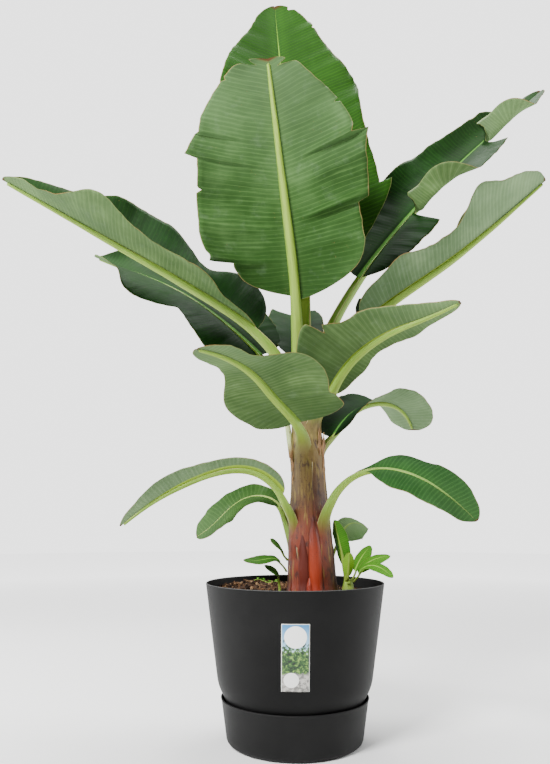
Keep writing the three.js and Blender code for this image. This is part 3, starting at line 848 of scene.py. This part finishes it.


# ---- Blades ---------------------------------------------------------------------------------
# Each blade is thin and leathery, with a half on each side of the rib. Fine veins run from the
# rib to the margin, slightly forwards, and the halves wave and pleat towards the margin.
#   half: breadth of a half along the blade      lift, bend: its slope at the rib, and how much
#   that changes on the way to the margin        lead: how far the veins run forwards
#   lag: how far a half droops back past the foot of the blade
#   steps: lengths where the margin stands out or back, as (start, end, first and last jump)
#   curls: flaps folded over the rib, as (start, end, angle, and the fold's start and end)
#   folds: creases from rib to margin, as (where, depth, width)
#   slits: narrow splits from the margin, as (where, how deep, width at the margin)
# glow: share of painted backlight, a brighter green, on that half

BLADES = {
    "front_upright": dict(
        upper="bright", lower="underside_green", lead=0.35, lift=(-5, 0), wave=16, flutter=20,
        left=dict(
            half=(45, 150, 152, 146, 146, 150, 122, 76, 34), bend=(-25, -10), pitch=75,
            steps=((0.33, 0.565, 20, 32),), slits=((0.955, 0.6, 6), (0.72, 0.10, 4)),
            folds=((0.33, 11, 8), (0.20, 5, 12), (0.565, 5, 10), (0.46, 3, 8)),
        ),
        right=dict(
            half=(118, 190, 192, 178, 172, 160, 138, 94, 40), bend=(-30, -10), pitch=80,
            steps=((0.55, 0.655, 28, 4), (-0.1, 0.165, -78, -62)),
            slits=((0.965, 0.55, 5), (0.44, 0.06, 4), (0.88, 0.07, 4)),
            folds=((0.165, 10, 9), (0.30, 5, 14), (0.55, 5, 10)),
        ),
    ),
    "back_upright": dict(
        upper="bright", lower="underside", lead=0.35,
        left=dict(
            half=(110, 160, 175, 175, 170, 155, 125, 70, 20), lift=(20, 10), bend=(10, 10),
            glow=0.35,
        ),
        right=dict(
            half=(70, 120, 190, 185, 180, 170, 125, 84, 36), lift=(20, 5), bend=(10, 0),
            glow=0.45, steps=((0.12, 0.27, 24, 30),), slits=((0.965, 0.25, 8), (0.86, 0.06, 4)),
        ),
    ),
    "left_long": dict(
        upper="deep", lower="underside",
        left=dict(
            half=(20, 45, 105, 105, 100, 120, 80, 45, 20), lift=(5, 10), bend=(5, 5), wave=16,
            pitch=110,
        ),
        right=dict(
            half=(110, 150, 80, 125, 140, 115, 80, 50, 20), lift=(45, 60), bend=(15, 10), wave=20,
            pitch=120, flutter=26,
        ),
    ),
    "left_back": dict(
        upper="deep", lower="underside", lag=0.2, flutter=28,
        left=dict(
            half=(60, 95, 116, 92, 112, 130, 84, 66, 24), lift=(-20, -5), bend=(-20, 0), wave=20,
            pitch=70,
        ),
        right=dict(
            half=(80, 120, 125, 100, 118, 124, 92, 66, 24), lift=(25, 25), bend=(10, 10), wave=22,
            pitch=75,
        ),
    ),
    "right_high": dict(
        upper="deep", lower="underside",
        left=dict(
            half=(50, 85, 135, 125, 110, 88, 65, 34, 15), lift=(30, 30), bend=(10, 10), wave=22,
            pitch=110, flutter=22,
        ),
        right=dict(
            half=(45, 92, 104, 84, 106, 104, 84, 62, 24), lift=(-15, 0), bend=(-10, 10), wave=5,
            flutter=6, slits=((0.296, 0.82, 15), (0.661, 0.72, 13)),
            curls=((0.30, 0.50, 140, 0.30, 0.52), (0.665, 0.86, 140, 0.30, 0.50)),
        ),
    ),
    "right_mid": dict(
        upper="deep", lower="underside_pale", pitch=90,
        left=dict(
            half=(75, 90, 96, 76, 52, 92, 94, 72, 42), lift=(30, 55), bend=(20, 10), wave=16,
            flutter=24, slits=((0.145, 0.66, 30), (0.93, 0.12, 6)),
        ),
        right=dict(
            half=(60, 85, 110, 75, 80, 125, 95, 70, 20), lift=(20, 25), bend=(5, 5), wave=12,
        ),
    ),
    "right_front": dict(
        upper="dark", lower="underside",
        left=dict(
            half=(20, 32, 38, 28, 28, 32, 22, 16, 10), lift=(-30, -20), bend=(-10, 0), wave=8,
            pitch=60,
        ),
        right=dict(
            half=(70, 100, 120, 84, 70, 50, 34, 20, 10), lift=(30, 30), bend=(10, 10), wave=14,
            pitch=70, flutter=26, slits=((0.285, 0.30, 9),), folds=((0.285, 8, 9),),
        ),
    ),
    "left_front": dict(
        upper="dark", lower="underside", lag=0.2,
        left=dict(
            half=(115, 122, 124, 135, 115, 65, 40, 35, 15), lift=(10, 10), bend=(-10, 0), wave=14,
            pitch=75, flutter=24, folds=((0.22, 6, 12),),
        ),
        right=dict(
            half=(60, 95, 112, 90, 60, 45, 42, 34, 15), lift=(-10, 0), bend=(-10, -10), wave=12,
            pitch=80,
        ),
    ),
    "right_twisted": dict(
        upper="dark", lower="underside_pale", lift=(20, 10), wave=9, pitch=60,
        left=dict(half=(50, 70, 72, 78, 90, 98, 96, 80, 42), bend=(10, 10)),
        right=dict(half=(50, 72, 75, 75, 76, 80, 76, 66, 38), bend=(-10, -10)),
    ),
    "right_low": dict(
        upper="middle", lower="underside", wave=9, pitch=60, flutter=24,
        left=dict(half=(8, 10, 42, 56, 54, 52, 45, 31, 12), lift=(50, 40), bend=(-10, 0)),
        right=dict(half=(6, 10, 42, 60, 58, 52, 47, 39, 14), lift=(-30, -20), bend=(-10, -10)),
    ),
    "left_low": dict(
        upper="deep", lower="underside_pale", bend=(5, 5), wave=8, pitch=50, flutter=24,
        left=dict(half=(15, 25, 25, 25, 30, 34, 32, 20, 8), lift=(60, 60)),
        right=dict(half=(15, 25, 30, 34, 38, 36, 30, 20, 8), lift=(50, 40)),
    ),
    "left_lowest": dict(
        upper="dull", lower="underside", wave=9, pitch=50, flutter=24,
        left=dict(half=(20, 35, 50, 62, 65, 65, 58, 42, 14), lift=(-20, -30), bend=(-10, 0)),
        right=dict(half=(12, 22, 30, 45, 60, 65, 65, 50, 18), lift=(45, 45), bend=(10, 10)),
    ),
    "back_arching": dict(
        upper="deep", lower="underside", lift=(25, 15), bend=(-10, -10),
        left=dict(half=(35, 55, 68, 72, 70, 64, 54, 36, 14)),
        right=dict(half=(35, 52, 62, 66, 66, 60, 50, 34, 14)),
    ),
    "back_drooping": dict(
        upper="dark", lower="underside", lift=(25, 15), bend=(-10, -10),
        left=dict(half=(16, 26, 34, 38, 38, 36, 30, 20, 10)),
        right=dict(half=(16, 26, 34, 38, 38, 36, 30, 20, 10)),
    ),
}


class BladeFinish(Finish):
    """Leaf skin; the vein pattern follows marks that the mesh carries.

    colours: dark, middle and light ground, vein and rib      keel: how much of the rib's width
    shows      fresh: how pale the skin is by the rib      bloom: how waxy and grey it is, and how
    much painted sheen pales it towards the tip
    """

    def __init__(self, name, colours, keel, fresh, gloss, bloom_and_sheen):
        super().__init__(name, Roughness=gloss, Specular_IOR_Level=0.02)
        dark, middle, light, vein, rib = colours.split()
        place = self.place()
        along, across = self.mark("along"), self.mark("across")
        edge, reach = self.mark("edge"), self.mark("reach")
        drift = self.noise(self.join(along * 0.010, across * 0.006, 0.0), 1.0, 2)
        wander = along / 8.2 + drift * 1.6
        ridge = abs(wander.fraction() - 0.5) * 2
        line = ridge.step(0.72, 1.0)
        furrow = ridge.step(0.45, 0.0)
        threads = self.noise(self.join(along * 0.9, across * 0.022, 0.0), 1.0, 2, 0.6)
        cloud = self.noise(place, 9, 3, 0.55)
        mottle = self.noise(place, 70, 4, 0.6)
        from_rib = abs(across)
        tone = cloud * 0.7 + mottle * 0.15 + threads * 0.15
        colour = self.ramp(tone, (0.3, dark), (0.5, middle), (0.7, light))
        streaks = self.noise(self.join(along * 0.16, across * 0.010, 7.0), 1.0, 3, 0.7)
        strength = self.noise(place, 5, 2).step(0.38, 0.62)
        colour = self.blend(streaks.step(0.60, 0.42) * (0.10 + 0.25 * strength), colour, dark)
        colour = self.blend(streaks.step(0.54, 0.78) * strength * 0.22, colour, vein)
        colour = self.blend(line * (0.08 + 0.30 * threads), colour, vein)
        colour = self.blend(furrow * (0.10 + 0.36 * threads), colour, dark)
        # Painted shade: darker towards the foot of the blade. Paler and greyer towards the tip:
        # partly the skin's wax, partly painted sheen.
        colour = self.blend(reach.step(0.45, 0.05) * 0.45, colour, dark)
        colour = self.blend(reach.step(0.30, 0.95) * bloom_and_sheen, colour, "7f9a72")
        # Painted backlight: the mark glow blends a brighter green into a half, as where light
        # shines through it.
        colour = self.blend(self.mark("glow") * (0.45 + 0.55 * line), colour, "345f14")
        near = from_rib.step(34, 2) * (0.5 + 0.5 * line)
        colour = self.blend(near * fresh, colour, vein)
        width = self.mark("rib") * (keel * reach.step(1.05, 0.55))
        colour = self.blend((from_rib / width).step(1.12, 0.88), colour, rib)
        dusty = self.noise(place, 34, 5, 0.7).step(0.52, 0.74)
        colour = self.blend(dusty * bloom_and_sheen * 0.4, colour, "8fa08e")
        spots = self.noise(place, 260, 2).step(0.70, 0.76)
        spots = spots * self.noise(place, 16, 2).step(0.5, 0.62)
        colour = self.blend(spots * 0.6, colour, "6b5a34")
        dry = self.noise(self.join(along * 0.12, across * 0.01, 5.0), 1.0, 3)
        brown = edge.step(0.6 + dry * 1.6, 0.2)
        worn = self.noise(place, 8, 2).step(0.40, 0.60)
        colour = self.blend(edge.step(1.8, 0.6) * (0.25 + 0.4 * worn), colour, "9c9c62")
        colour = self.blend(brown * worn * 0.8, colour, "6e4a2c")
        colour = self.blend(reach.step(0.988 - dry * 0.012, 0.998), colour, "4a2f1e")
        self.feed("Base Color", colour)
        self.feed("Roughness", gloss + 0.16 * mottle + dusty * 0.12)
        wave = wander.sum("SINE", wander * 6.28318) * 0.35 + threads * 0.4 + mottle * 0.15
        self.relief(wave, 0.0002)


SKINS = {
    kind: BladeFinish(f"blade_{kind}", *settled) for kind, *settled in (
        ("bright", "10260b 18370f 254c17 3e7024 6f9a35", 0.8, 0.40, 0.50, 0.04),
        ("deep", "0a1f08 102b0b 1a3e13 29501e 4a7a2c", 0.5, 0.30, 0.52, 0.05),
        ("dark", "091a09 0e250d 163412 24481d 416e2c", 0.5, 0.28, 0.52, 0.06),
        ("middle", "173415 21441c 315a28 456e36 6f8f46", 0.4, 0.25, 0.50, 0.06),
        ("underside", "334928 4b6338 65814d 7a925e 8ba638", 1.0, 0.20, 0.52, 0.20),
        ("underside_pale", "3f5536 5a714e 778f66 8aa079 8ba638", 1.0, 0.20, 0.52, 0.24),
        ("underside_green", "1d3513 304d23 4a683b 628449 98b040", 1.0, 0.20, 0.50, 0.16),
        ("dull", "1e3815 2d491e 41612c 567540 8a9f55", 0.4, 0.20, 0.52, 0.12),
    )
}
ENDS = (0.10, 0.08)


def margin_of(side, u, length, seed):
    """Breadth of a half blade along it, with its small unevenness, jumps and splits."""
    rounding = 1.0
    for end, share in enumerate(ENDS):
        inward = np.clip((u if end == 0 else 1 - u) / share, 0, 1)
        rounding = rounding * np.sqrt(1 - (1 - inward) ** 2)
    plain = np.maximum(through(side["half"], u) * rounding, 2.5)
    ripple = soft_noise(u * length / 46, seed, 31) * 2.4
    ripple = ripple + soft_noise(u * length / 11, seed, 32) * 0.8
    breadth = plain + ripple * smooth(plain, 5, 40)
    for start, end, first, last in side.get("steps", ()):
        share = (u - start) / (end - start)
        breadth = breadth + np.where((share > 0) & (share < 1), first + (last - first) * share, 0)
    cut = np.ones_like(u)
    for where, deep, width in side.get("slits", ()):
        cut = np.minimum(cut, 1 - deep + deep * np.clip(np.abs(u - where) * length / width, 0, 1))
    return plain, np.maximum(breadth * cut, 2.0)


def blade_grid(name, leaf, spacing, half_columns):
    """A grid for both halves of a blade.

    It gives the mesh, each point's row, its column counted from the rib, the rows' shares of the
    blade and of the leaf's line, and the blade's length.
    """
    length = leaf["length"] * (1 - leaf["start"])
    rows = int(length / spacing) + 2
    mesh, across_share, along_share = sheet(name, 2 * half_columns, rows - 1)
    row = np.rint(along_share * (rows - 1)).astype(int)
    column = half_columns - np.rint(across_share * 2 * half_columns).astype(int)
    u = np.linspace(0, 1, rows)
    return mesh, row, column, u, leaf["start"] + (1 - leaf["start"]) * u, length


STRIPS = 72
half_columns = 24
for index, (name, blade) in enumerate(BLADES.items()):
    leaf = LEAVES[name]
    mesh, row, column, u_rows, s, length = blade_grid(f"blade_{name}", leaf, 2.6, half_columns)
    point, ahead, left, up = walked(leaf, s)
    points = np.empty((len(row), 3))
    marks = ("along", "across", "edge", "reach", "rib", "glow")
    marks = {key: np.empty(len(row)) for key in marks}
    rib_radius = through(leaf["stalk"], s) * 1.06
    for sign, key in ((1, "left"), (-1, "right")):
        side = blade | blade[key]
        here = column >= 0 if sign > 0 else column <= 0
        r = row[here]
        u = u_rows[r]
        t = np.abs(column[here]) / half_columns
        share = t * (0.42 + 0.58 * t)
        plain, breadth = margin_of(side, u_rows, length, index * 2 + (sign > 0))
        reach_out = share * breadth[r]
        a = reach_out / plain[r]
        fine = np.linspace(0, 1, STRIPS + 1)
        lift = np.radians(through(side["lift"], u_rows))[:, None]
        slope = lift + np.radians(through(side["bend"], u_rows))[:, None] * fine
        for start, stop, angle, begin, end in side.get("curls", ()):
            strength = smooth(u_rows, start - 0.01, start + 0.015)
            strength = strength * smooth(u_rows, stop, start + 0.35 * (stop - start))
            slope = slope + math.radians(angle) * strength[:, None] * smooth(fine, begin, end)
        edge_roll = soft_noise(u_rows * length / 60 + 7 * index, sign, 51)[:, None]
        slope = slope + np.radians(side.get("flutter", 14)) * edge_roll * fine**3
        steps_across = breadth[:, None] / STRIPS
        paths = []
        for part in (np.cos(slope), np.sin(slope)):
            middle_part = (part[:, 1:] + part[:, :-1]) / 2 * steps_across
            paths.append(np.hstack([np.zeros((len(s), 1)), np.cumsum(middle_part, 1)]))
        spot = share * STRIPS
        low = np.minimum(spot.astype(int), STRIPS - 1)
        part = spot - low
        out, rise = (path[r, low] * (1 - part) + path[r, low + 1] * part for path in paths)
        tilt = slope[r, low] * (1 - part) + slope[r, low + 1] * part
        normal = up[r] * np.cos(tilt)[:, None] - sign * left[r] * np.sin(tilt)[:, None]
        distance = u * length
        wave = side.get("wave", 5.0)
        swell = soft_noise(distance / side.get("pitch", 95) + 3 * index, a * 0.7 + sign, 41) * wave
        pleat = soft_noise(distance / 19, a * 0.5 + 5 * sign, 42 + index) * 2.2
        pleat = pleat + soft_noise(distance / 8.5, a * 0.8, 60 + index) * 0.7
        fade = smooth(share * breadth[r], 4, 70)
        offset = (swell * a + pleat * (0.35 + 0.65 * a)) * fade * smooth(u, 0, 0.05)
        for start, end, first, last in side.get("steps", ()):
            for where in (start, end):
                near = (u - where) * length
                crease = np.where(near < 0, np.exp(near / 14), -np.exp(-near / 14))
                offset = offset + crease * 4.5 * smooth(a, 0.1, 1.0) * (0 < where < 1)
        for where, deep, width in side.get("folds", ()):
            near = (u - where - 0.02 * a) * length
            offset = offset - deep * np.exp(-((near / width) ** 2)) * smooth(a, 0.05, 0.6)
        groove = -0.16 * rib_radius[r] * np.clip(1 - (reach_out / rib_radius[r]) ** 2, 0, 1)
        place = point[r] + sign * left[r] * out[:, None] + up[r] * (rise + groove)[:, None]
        lead = blade.get("lead", 0.25) * u - blade.get("lag", 0.08) * (1 - u) ** 4
        place = place + ahead[r] * (lead * reach_out)[:, None]
        points[here] = place + normal * offset[:, None]
        marks["along"][here] = distance
        marks["across"][here] = sign * reach_out
        marks["edge"][here] = breadth[r] - reach_out
        marks["reach"][here] = u
        marks["glow"][here] = side.get("glow", 0) * smooth(reach_out, 2, 12)
        marks["rib"][here] = rib_radius[r] * 0.93
    shape(mesh, points, **marks)
    upper, lower = SKINS[blade["upper"]], SKINS[blade["lower"]]
    piece = stand(f"blade_{name}", mesh, upper, lower)
    thicken(piece, 0.7, under=1)
    settle(piece, "blade", f"blade_{name}")


# ---- Suckers and young leaves ---------------------------------------------------------------
# Two shoots stand on the right of the stem, and a few young leaves come from its left side. They
# are soft and thin, with a channelled stalk that runs on as the rib, and a brown dried tip.
#   half: breadths of the left and the right half      lift: their slopes
#   radius: of the stalk

YOUNG = {
    "sucker_back": dict(
        foot=(84, 26, 400), length=155, climb=(59, 55, 44, -4, -38),
        azimuth=(59, 51, 38, 31, 25), start=0.3, facing=35, half=(26, 46), lift=(25, -62),
        radius=5,
    ),
    "sucker_rolled": dict(
        foot=(112, -14, 352), length=133, climb=(80, 81, 77, 76, 80),
        azimuth=(150, 160, 170, 180, 180), start=0.22, facing=250, half=(24, 24), lift=(45, 45),
        radius=5,
    ),
    "sucker_spear": dict(
        foot=(110, -38, 352), length=64, climb=(66, 70, 74, 80, 84),
        azimuth=(-70, -80, -80, -80, -90), start=0.15, facing=270, half=(15, 15), lift=(30, 30),
        radius=4,
    ),
    "sucker_upper": dict(
        foot=(124, -6, 350), length=90, climb=(68, 66, 59, 49, 45),
        azimuth=(29, 27, 22, 20, 20), start=0.25, facing=22, half=(12, 19), lift=(30, -40),
        radius=3.5,
    ),
    "sucker_middle": dict(
        foot=(127, -20, 350), length=102, climb=(62, 57, 33, 17, 3),
        azimuth=(1, -4, -15, -11, -13), start=0.2, facing=-10, half=(14, 20), lift=(30, -45),
        radius=3.5,
    ),
    "sucker_over_rim": dict(
        foot=(124, -36, 350), length=112, climb=(60, 50, 5, -30, -45),
        azimuth=(-28, -30, -30, -26, -22), start=0.2, facing=-28, half=(14, 17), lift=(25, -30),
        radius=3.5,
    ),
    "offset_upper": dict(
        foot=(-16, -18, 396), length=68, climb=(50, 50, 44, 31, 23),
        azimuth=(-134, -134, -136, -138, -137), start=0.25, facing=225, half=(20, 17),
        lift=(-40, 40), radius=3.5,
    ),
    "offset_side": dict(
        foot=(-18, -28, 372), length=118, climb=(60, 36, -6, -3, 9),
        azimuth=(-130, -142, -156, -154, -154), start=0.25, facing=205, half=(17, 14),
        lift=(-25, 30), radius=3.5,
    ),
    "offset_low": dict(
        foot=(-32, -32, 322), length=86, climb=(85, 83, 62, 25, 23),
        azimuth=(-90, -108, -131, -153, -155), start=0.45, facing=210, half=(16, 10),
        lift=(-40, 30), radius=4,
    ),
}

fresh = BladeFinish(
    "young_blade", "25590c 357212 4d8c1c 74a83c 8fb84a", 0.8, 0.4, 0.45, 0.04,
)
pale = BladeFinish(
    "young_blade_yellow", "4a7a0e 649414 86ac28 9cc046 a9c652", 0.8, 0.4, 0.45, 0.03,
)
grey = BladeFinish(
    "young_blade_dull", "48663a 5f7e4e 7f9b6a 97b082 8fae62", 0.8, 0.3, 0.48, 0.10,
)
mature = BladeFinish(
    "young_blade_dark", "17360c 234a12 35621c 4a7a2c 5f8a38", 0.8, 0.3, 0.48, 0.08,
)
SHOOT_SKINS = {
    "sucker_back": grey, "sucker_rolled": fresh, "sucker_spear": pale,
    "offset_upper": mature, "offset_side": mature, "offset_low": mature,
}

half_columns = 12
for index, (name, leaf) in enumerate(YOUNG.items()):
    radius = leaf["radius"]
    mesh, row, column, u, s, length = blade_grid(name, leaf, 1.3, half_columns)
    point, ahead, left, up = walked(leaf, s)
    rounding = np.sqrt(1 - (1 - np.clip(u / 0.12, 0, 1)) ** 2)
    rounding = rounding * np.sqrt(1 - (1 - np.clip((1 - u) / 0.10, 0, 1)) ** 2)
    share = np.abs(column) / half_columns
    side = np.where(column >= 0, 1.0, -1.0)
    half = np.where(column >= 0, leaf["half"][0], leaf["half"][1])
    lift = np.radians(np.where(column >= 0, leaf["lift"][0], leaf["lift"][1]))
    plain = np.maximum(half * (through((0.5, 1, 0.95, 0.3), u) * rounding)[row], 0.9)
    ripple = soft_noise(u[row] * length / 7, side + index, 91) * 0.5
    plain = plain + ripple * smooth(plain, 2, 8)
    wave = soft_noise(u[row] * length / 24 + 5 * index, side, 92) * 0.10 * half
    pleat = soft_noise(u[row] * length / 6.5, side * 3 + index, 93) * 0.45
    breadth = plain * share
    tilt = lift + math.radians(5) * share
    out, rise = breadth * np.cos(tilt), breadth * np.sin(tilt) + (wave * share + pleat) * share
    points = point[row] + left[row] * (side * out)[:, None] + up[row] * rise[:, None]
    points = points + ahead[row] * (0.2 * breadth * u[row])[:, None]
    rib = through((radius, radius * 0.7, 1.5, 0.8), s[row])
    shape(
        mesh, points, along=u[row] * length * 1.9, across=side * breadth,
        edge=(plain - breadth) * 1.6, reach=u[row], rib=rib * 0.8, glow=0,
    )
    skin = SHOOT_SKINS.get(name, fresh)
    piece = stand(name, mesh, skin, skin)
    thicken(piece, 0.5, under=1)
    settle(piece, "young_leaf", name)

    rings, ring_points = int(leaf["length"] / 2.2), 20
    mesh, ring, spot = tube(f"{name}_stalk", rings, ring_points)
    s = np.linspace(0, 0.97, rings)
    point, ahead, left, up = walked(leaf, s)
    thick = through((radius, radius * 0.7, 1.4, 0.7), s)
    turn = 2 * math.pi * spot / ring_points
    channel = np.maximum(np.sin(turn), 0) * (0.9 - 0.3 * smooth(s, 0.1, leaf["start"])[ring])
    sunk = 0.9 * smooth(s, 0, leaf["start"])[ring]
    sideways = thick[ring] * np.cos(turn)
    rise = thick[ring] * (np.sin(turn) - channel - sunk)
    points = point[ring] + left[ring] * sideways[:, None] + up[ring] * rise[:, None]
    shape(
        mesh, points, level=0.72, around=thick[ring] * turn, margin=0, inside=0, keel=0, hue=1,
        along=(s * leaf["length"])[ring] * 1.5 + 45,
    )
    settle(stand(f"{name}_stalk", mesh, sheath), "young_leaf")

SHOOT_FOOT, SHOOT_TOP = 306, 354
shoot_rings, shoot_around = 40, 48
mesh, ring, spot = tube("sucker_stem", shoot_rings, shoot_around)
z = np.linspace(SHOOT_FOOT, SHOOT_TOP, shoot_rings)[ring]
turn = 2 * math.pi * spot / shoot_around
thick = np.interp(z, (SHOOT_FOOT, 330, 345, SHOOT_TOP), (17.5, 14.2, 11.6, 9.0))
fold = 1.1 * np.clip(np.sin(2 * turn + z / 30) * 6, -1, 1)
fold = fold + 0.5 * soft_noise(spot / 1.5, z / 20, 95)
thick = thick + fold * smooth(z, SHOOT_TOP, SHOOT_TOP - 8)
shape(
    mesh, round_axis(115, -20, thick, turn, z), level=0.45, around=thick * turn,
    along=(z - SHOOT_FOOT) * 2.6, margin=0, inside=0, keel=0, hue=0.8,
)
settle(stand("sucker_stem", mesh, sheath), "young_stem", "sucker_stem")


# ---- Dead ends on the stem, and a sprig on the soil -----------------------------------------
# The blunt stub of a cut leaf and dry papery flaps of old sheath stand off the stem. A thin
# green sprig with a few small leaves lies on the heaped soil at the back.

husk = Finish("dry_husk", Roughness=0.8, Specular_IOR_Level=0.25)
along, across = husk.mark("along"), husk.mark("across")
paper = husk.noise(husk.join(across * 0.9, along * 0.05, 0.0), 1.0, 4, 0.6)
husk_patch = husk.noise(husk.place(), 90, 3)
colour = husk.ramp(paper, (0.3, "4a3020"), (0.5, "86633f"), (0.7, "b59a6c"))
colour = husk.blend(husk_patch.step(0.5, 0.7) * 0.6, colour, "3f2a22")
husk.feed("Base Color", husk.blend(husk.mark("green"), colour, "a3b07a"))
husk.relief(paper, 0.0012)

FLAPS = (
    # name, turn of its middle, heights, breadth, how far it stands off
    ("husk_left", 183, (606, 672), 26, 7.0),
    ("husk_left_low", 196, (560, 628), 20, 3.5),
    ("husk_right", -14, (560, 668), 24, 5.5),
    ("husk_front", -38, (622, 676), 16, 3.0),
    ("husk_back", 100, (520, 640), 26, 5.0),
)
for index, (name, turn_at, (low, high), breadth, off) in enumerate(FLAPS):
    mesh, across, upward = sheet(name, 18, 40)
    ragged = soft_noise(across * 7, index, 81) * 9 + soft_noise(across * 17, 0, 82) * 3
    z = low + (high - low + ragged) * upward
    lean, stem_radius = stem_at(z)
    spread = breadth * (0.55 + 0.45 * np.sin(math.pi * np.clip(upward * 0.9 + 0.1, 0, 1)))
    spread = spread * (1 + 0.12 * soft_noise(upward * 9, index, 83))
    turn = np.radians(turn_at) + spread * (across - 0.5) / stem_radius
    curl = off * upward**1.5 + 1.6 * soft_noise(upward * 6, across * 4 + index, 84)
    distance = stem_radius - 1.6 + np.maximum(curl, 0) * (0.6 + abs(2 * across - 1) * 0.5)
    points = round_axis(lean, 0, distance, turn, z)
    shape(mesh, points, along=z, across=spread * (across - 0.5), green=0)
    piece = stand(name, mesh, husk)
    thicken(piece, 0.7)
    settle(piece, "sheath")

stub_rings, stub_around = 30, 28
mesh, ring, spot = tube("cut_stub", stub_rings, stub_around)
share = np.linspace(0, 1, stub_rings)[ring]
z = 618 + 84 * share
turn = 2 * math.pi * spot / stub_around
wide = 9.5 * np.sqrt(np.clip(1 - (share - 0.02) ** 6, 0.02, 1)) * (1 - 0.25 * share)
points = np.stack(
    [
        -5 - 13 * share + wide * 0.8 * np.cos(turn),
        -4 + wide * np.sin(turn) + 0.4 * soft_noise(spot / 2.0, share * 3, 85),
        z + 2.5 * np.sin(turn + 1) * share,
    ], 1,
)
shape(mesh, points, along=z, across=turn * 9, green=smooth(share, 0.05, 0.5))
settle(stand("cut_stub", mesh, husk), "sheath")

sprig_rings, sprig_around = 26, 8
mesh, ring, spot = tube("sprig_stem", sprig_rings, sprig_around)
share = np.linspace(0, 1, sprig_rings)
sprig = np.stack([-92 + 60 * share, 96 - 14 * share + 5 * np.sin(share * 7), 0 * share], 1)
sprig[:, 2] = ground_height(sprig[:, 0], sprig[:, 1]) + 4.6 + 2.2 * np.sin(share * 9)
turn = 2 * math.pi * spot / sprig_around
thin = 1.1 - 0.5 * share[ring]
points = sprig[ring] + np.stack([0 * turn, thin * np.cos(turn), thin * np.sin(turn)], 1)
shape(mesh, points, along=60 * share[ring], across=0, edge=5, reach=0, rib=0.1, glow=0)
settle(stand("sprig_stem", mesh, fresh), "young_leaf")
for index in range(7):
    mesh, across, along = sheet(f"sprig_leaf_{index + 1}", 6, 10)
    root = sprig[3 + index * 3]
    way = math.radians((-1) ** index * 62 + 15)
    breadth = 3.0 * np.sin(math.pi * np.clip(along, 0.03, 0.99)) ** 0.8
    reach = 12.5 * along
    offset = breadth * (2 * across - 1)
    points = np.stack(
        [
            root[0] + reach * math.cos(way) - offset * math.sin(way),
            root[1] + reach * math.sin(way) + offset * math.cos(way),
            root[2] + 3.5 * np.sin(along * 2.4) + 0.25 * abs(offset),
        ], 1,
    )
    shape(mesh, points, along=reach * 2, across=offset, edge=5, reach=0, rib=0.4, glow=0)
    piece = stand(f"sprig_leaf_{index + 1}", mesh, fresh)
    thicken(piece, 0.4)
    settle(piece, "young_leaf")
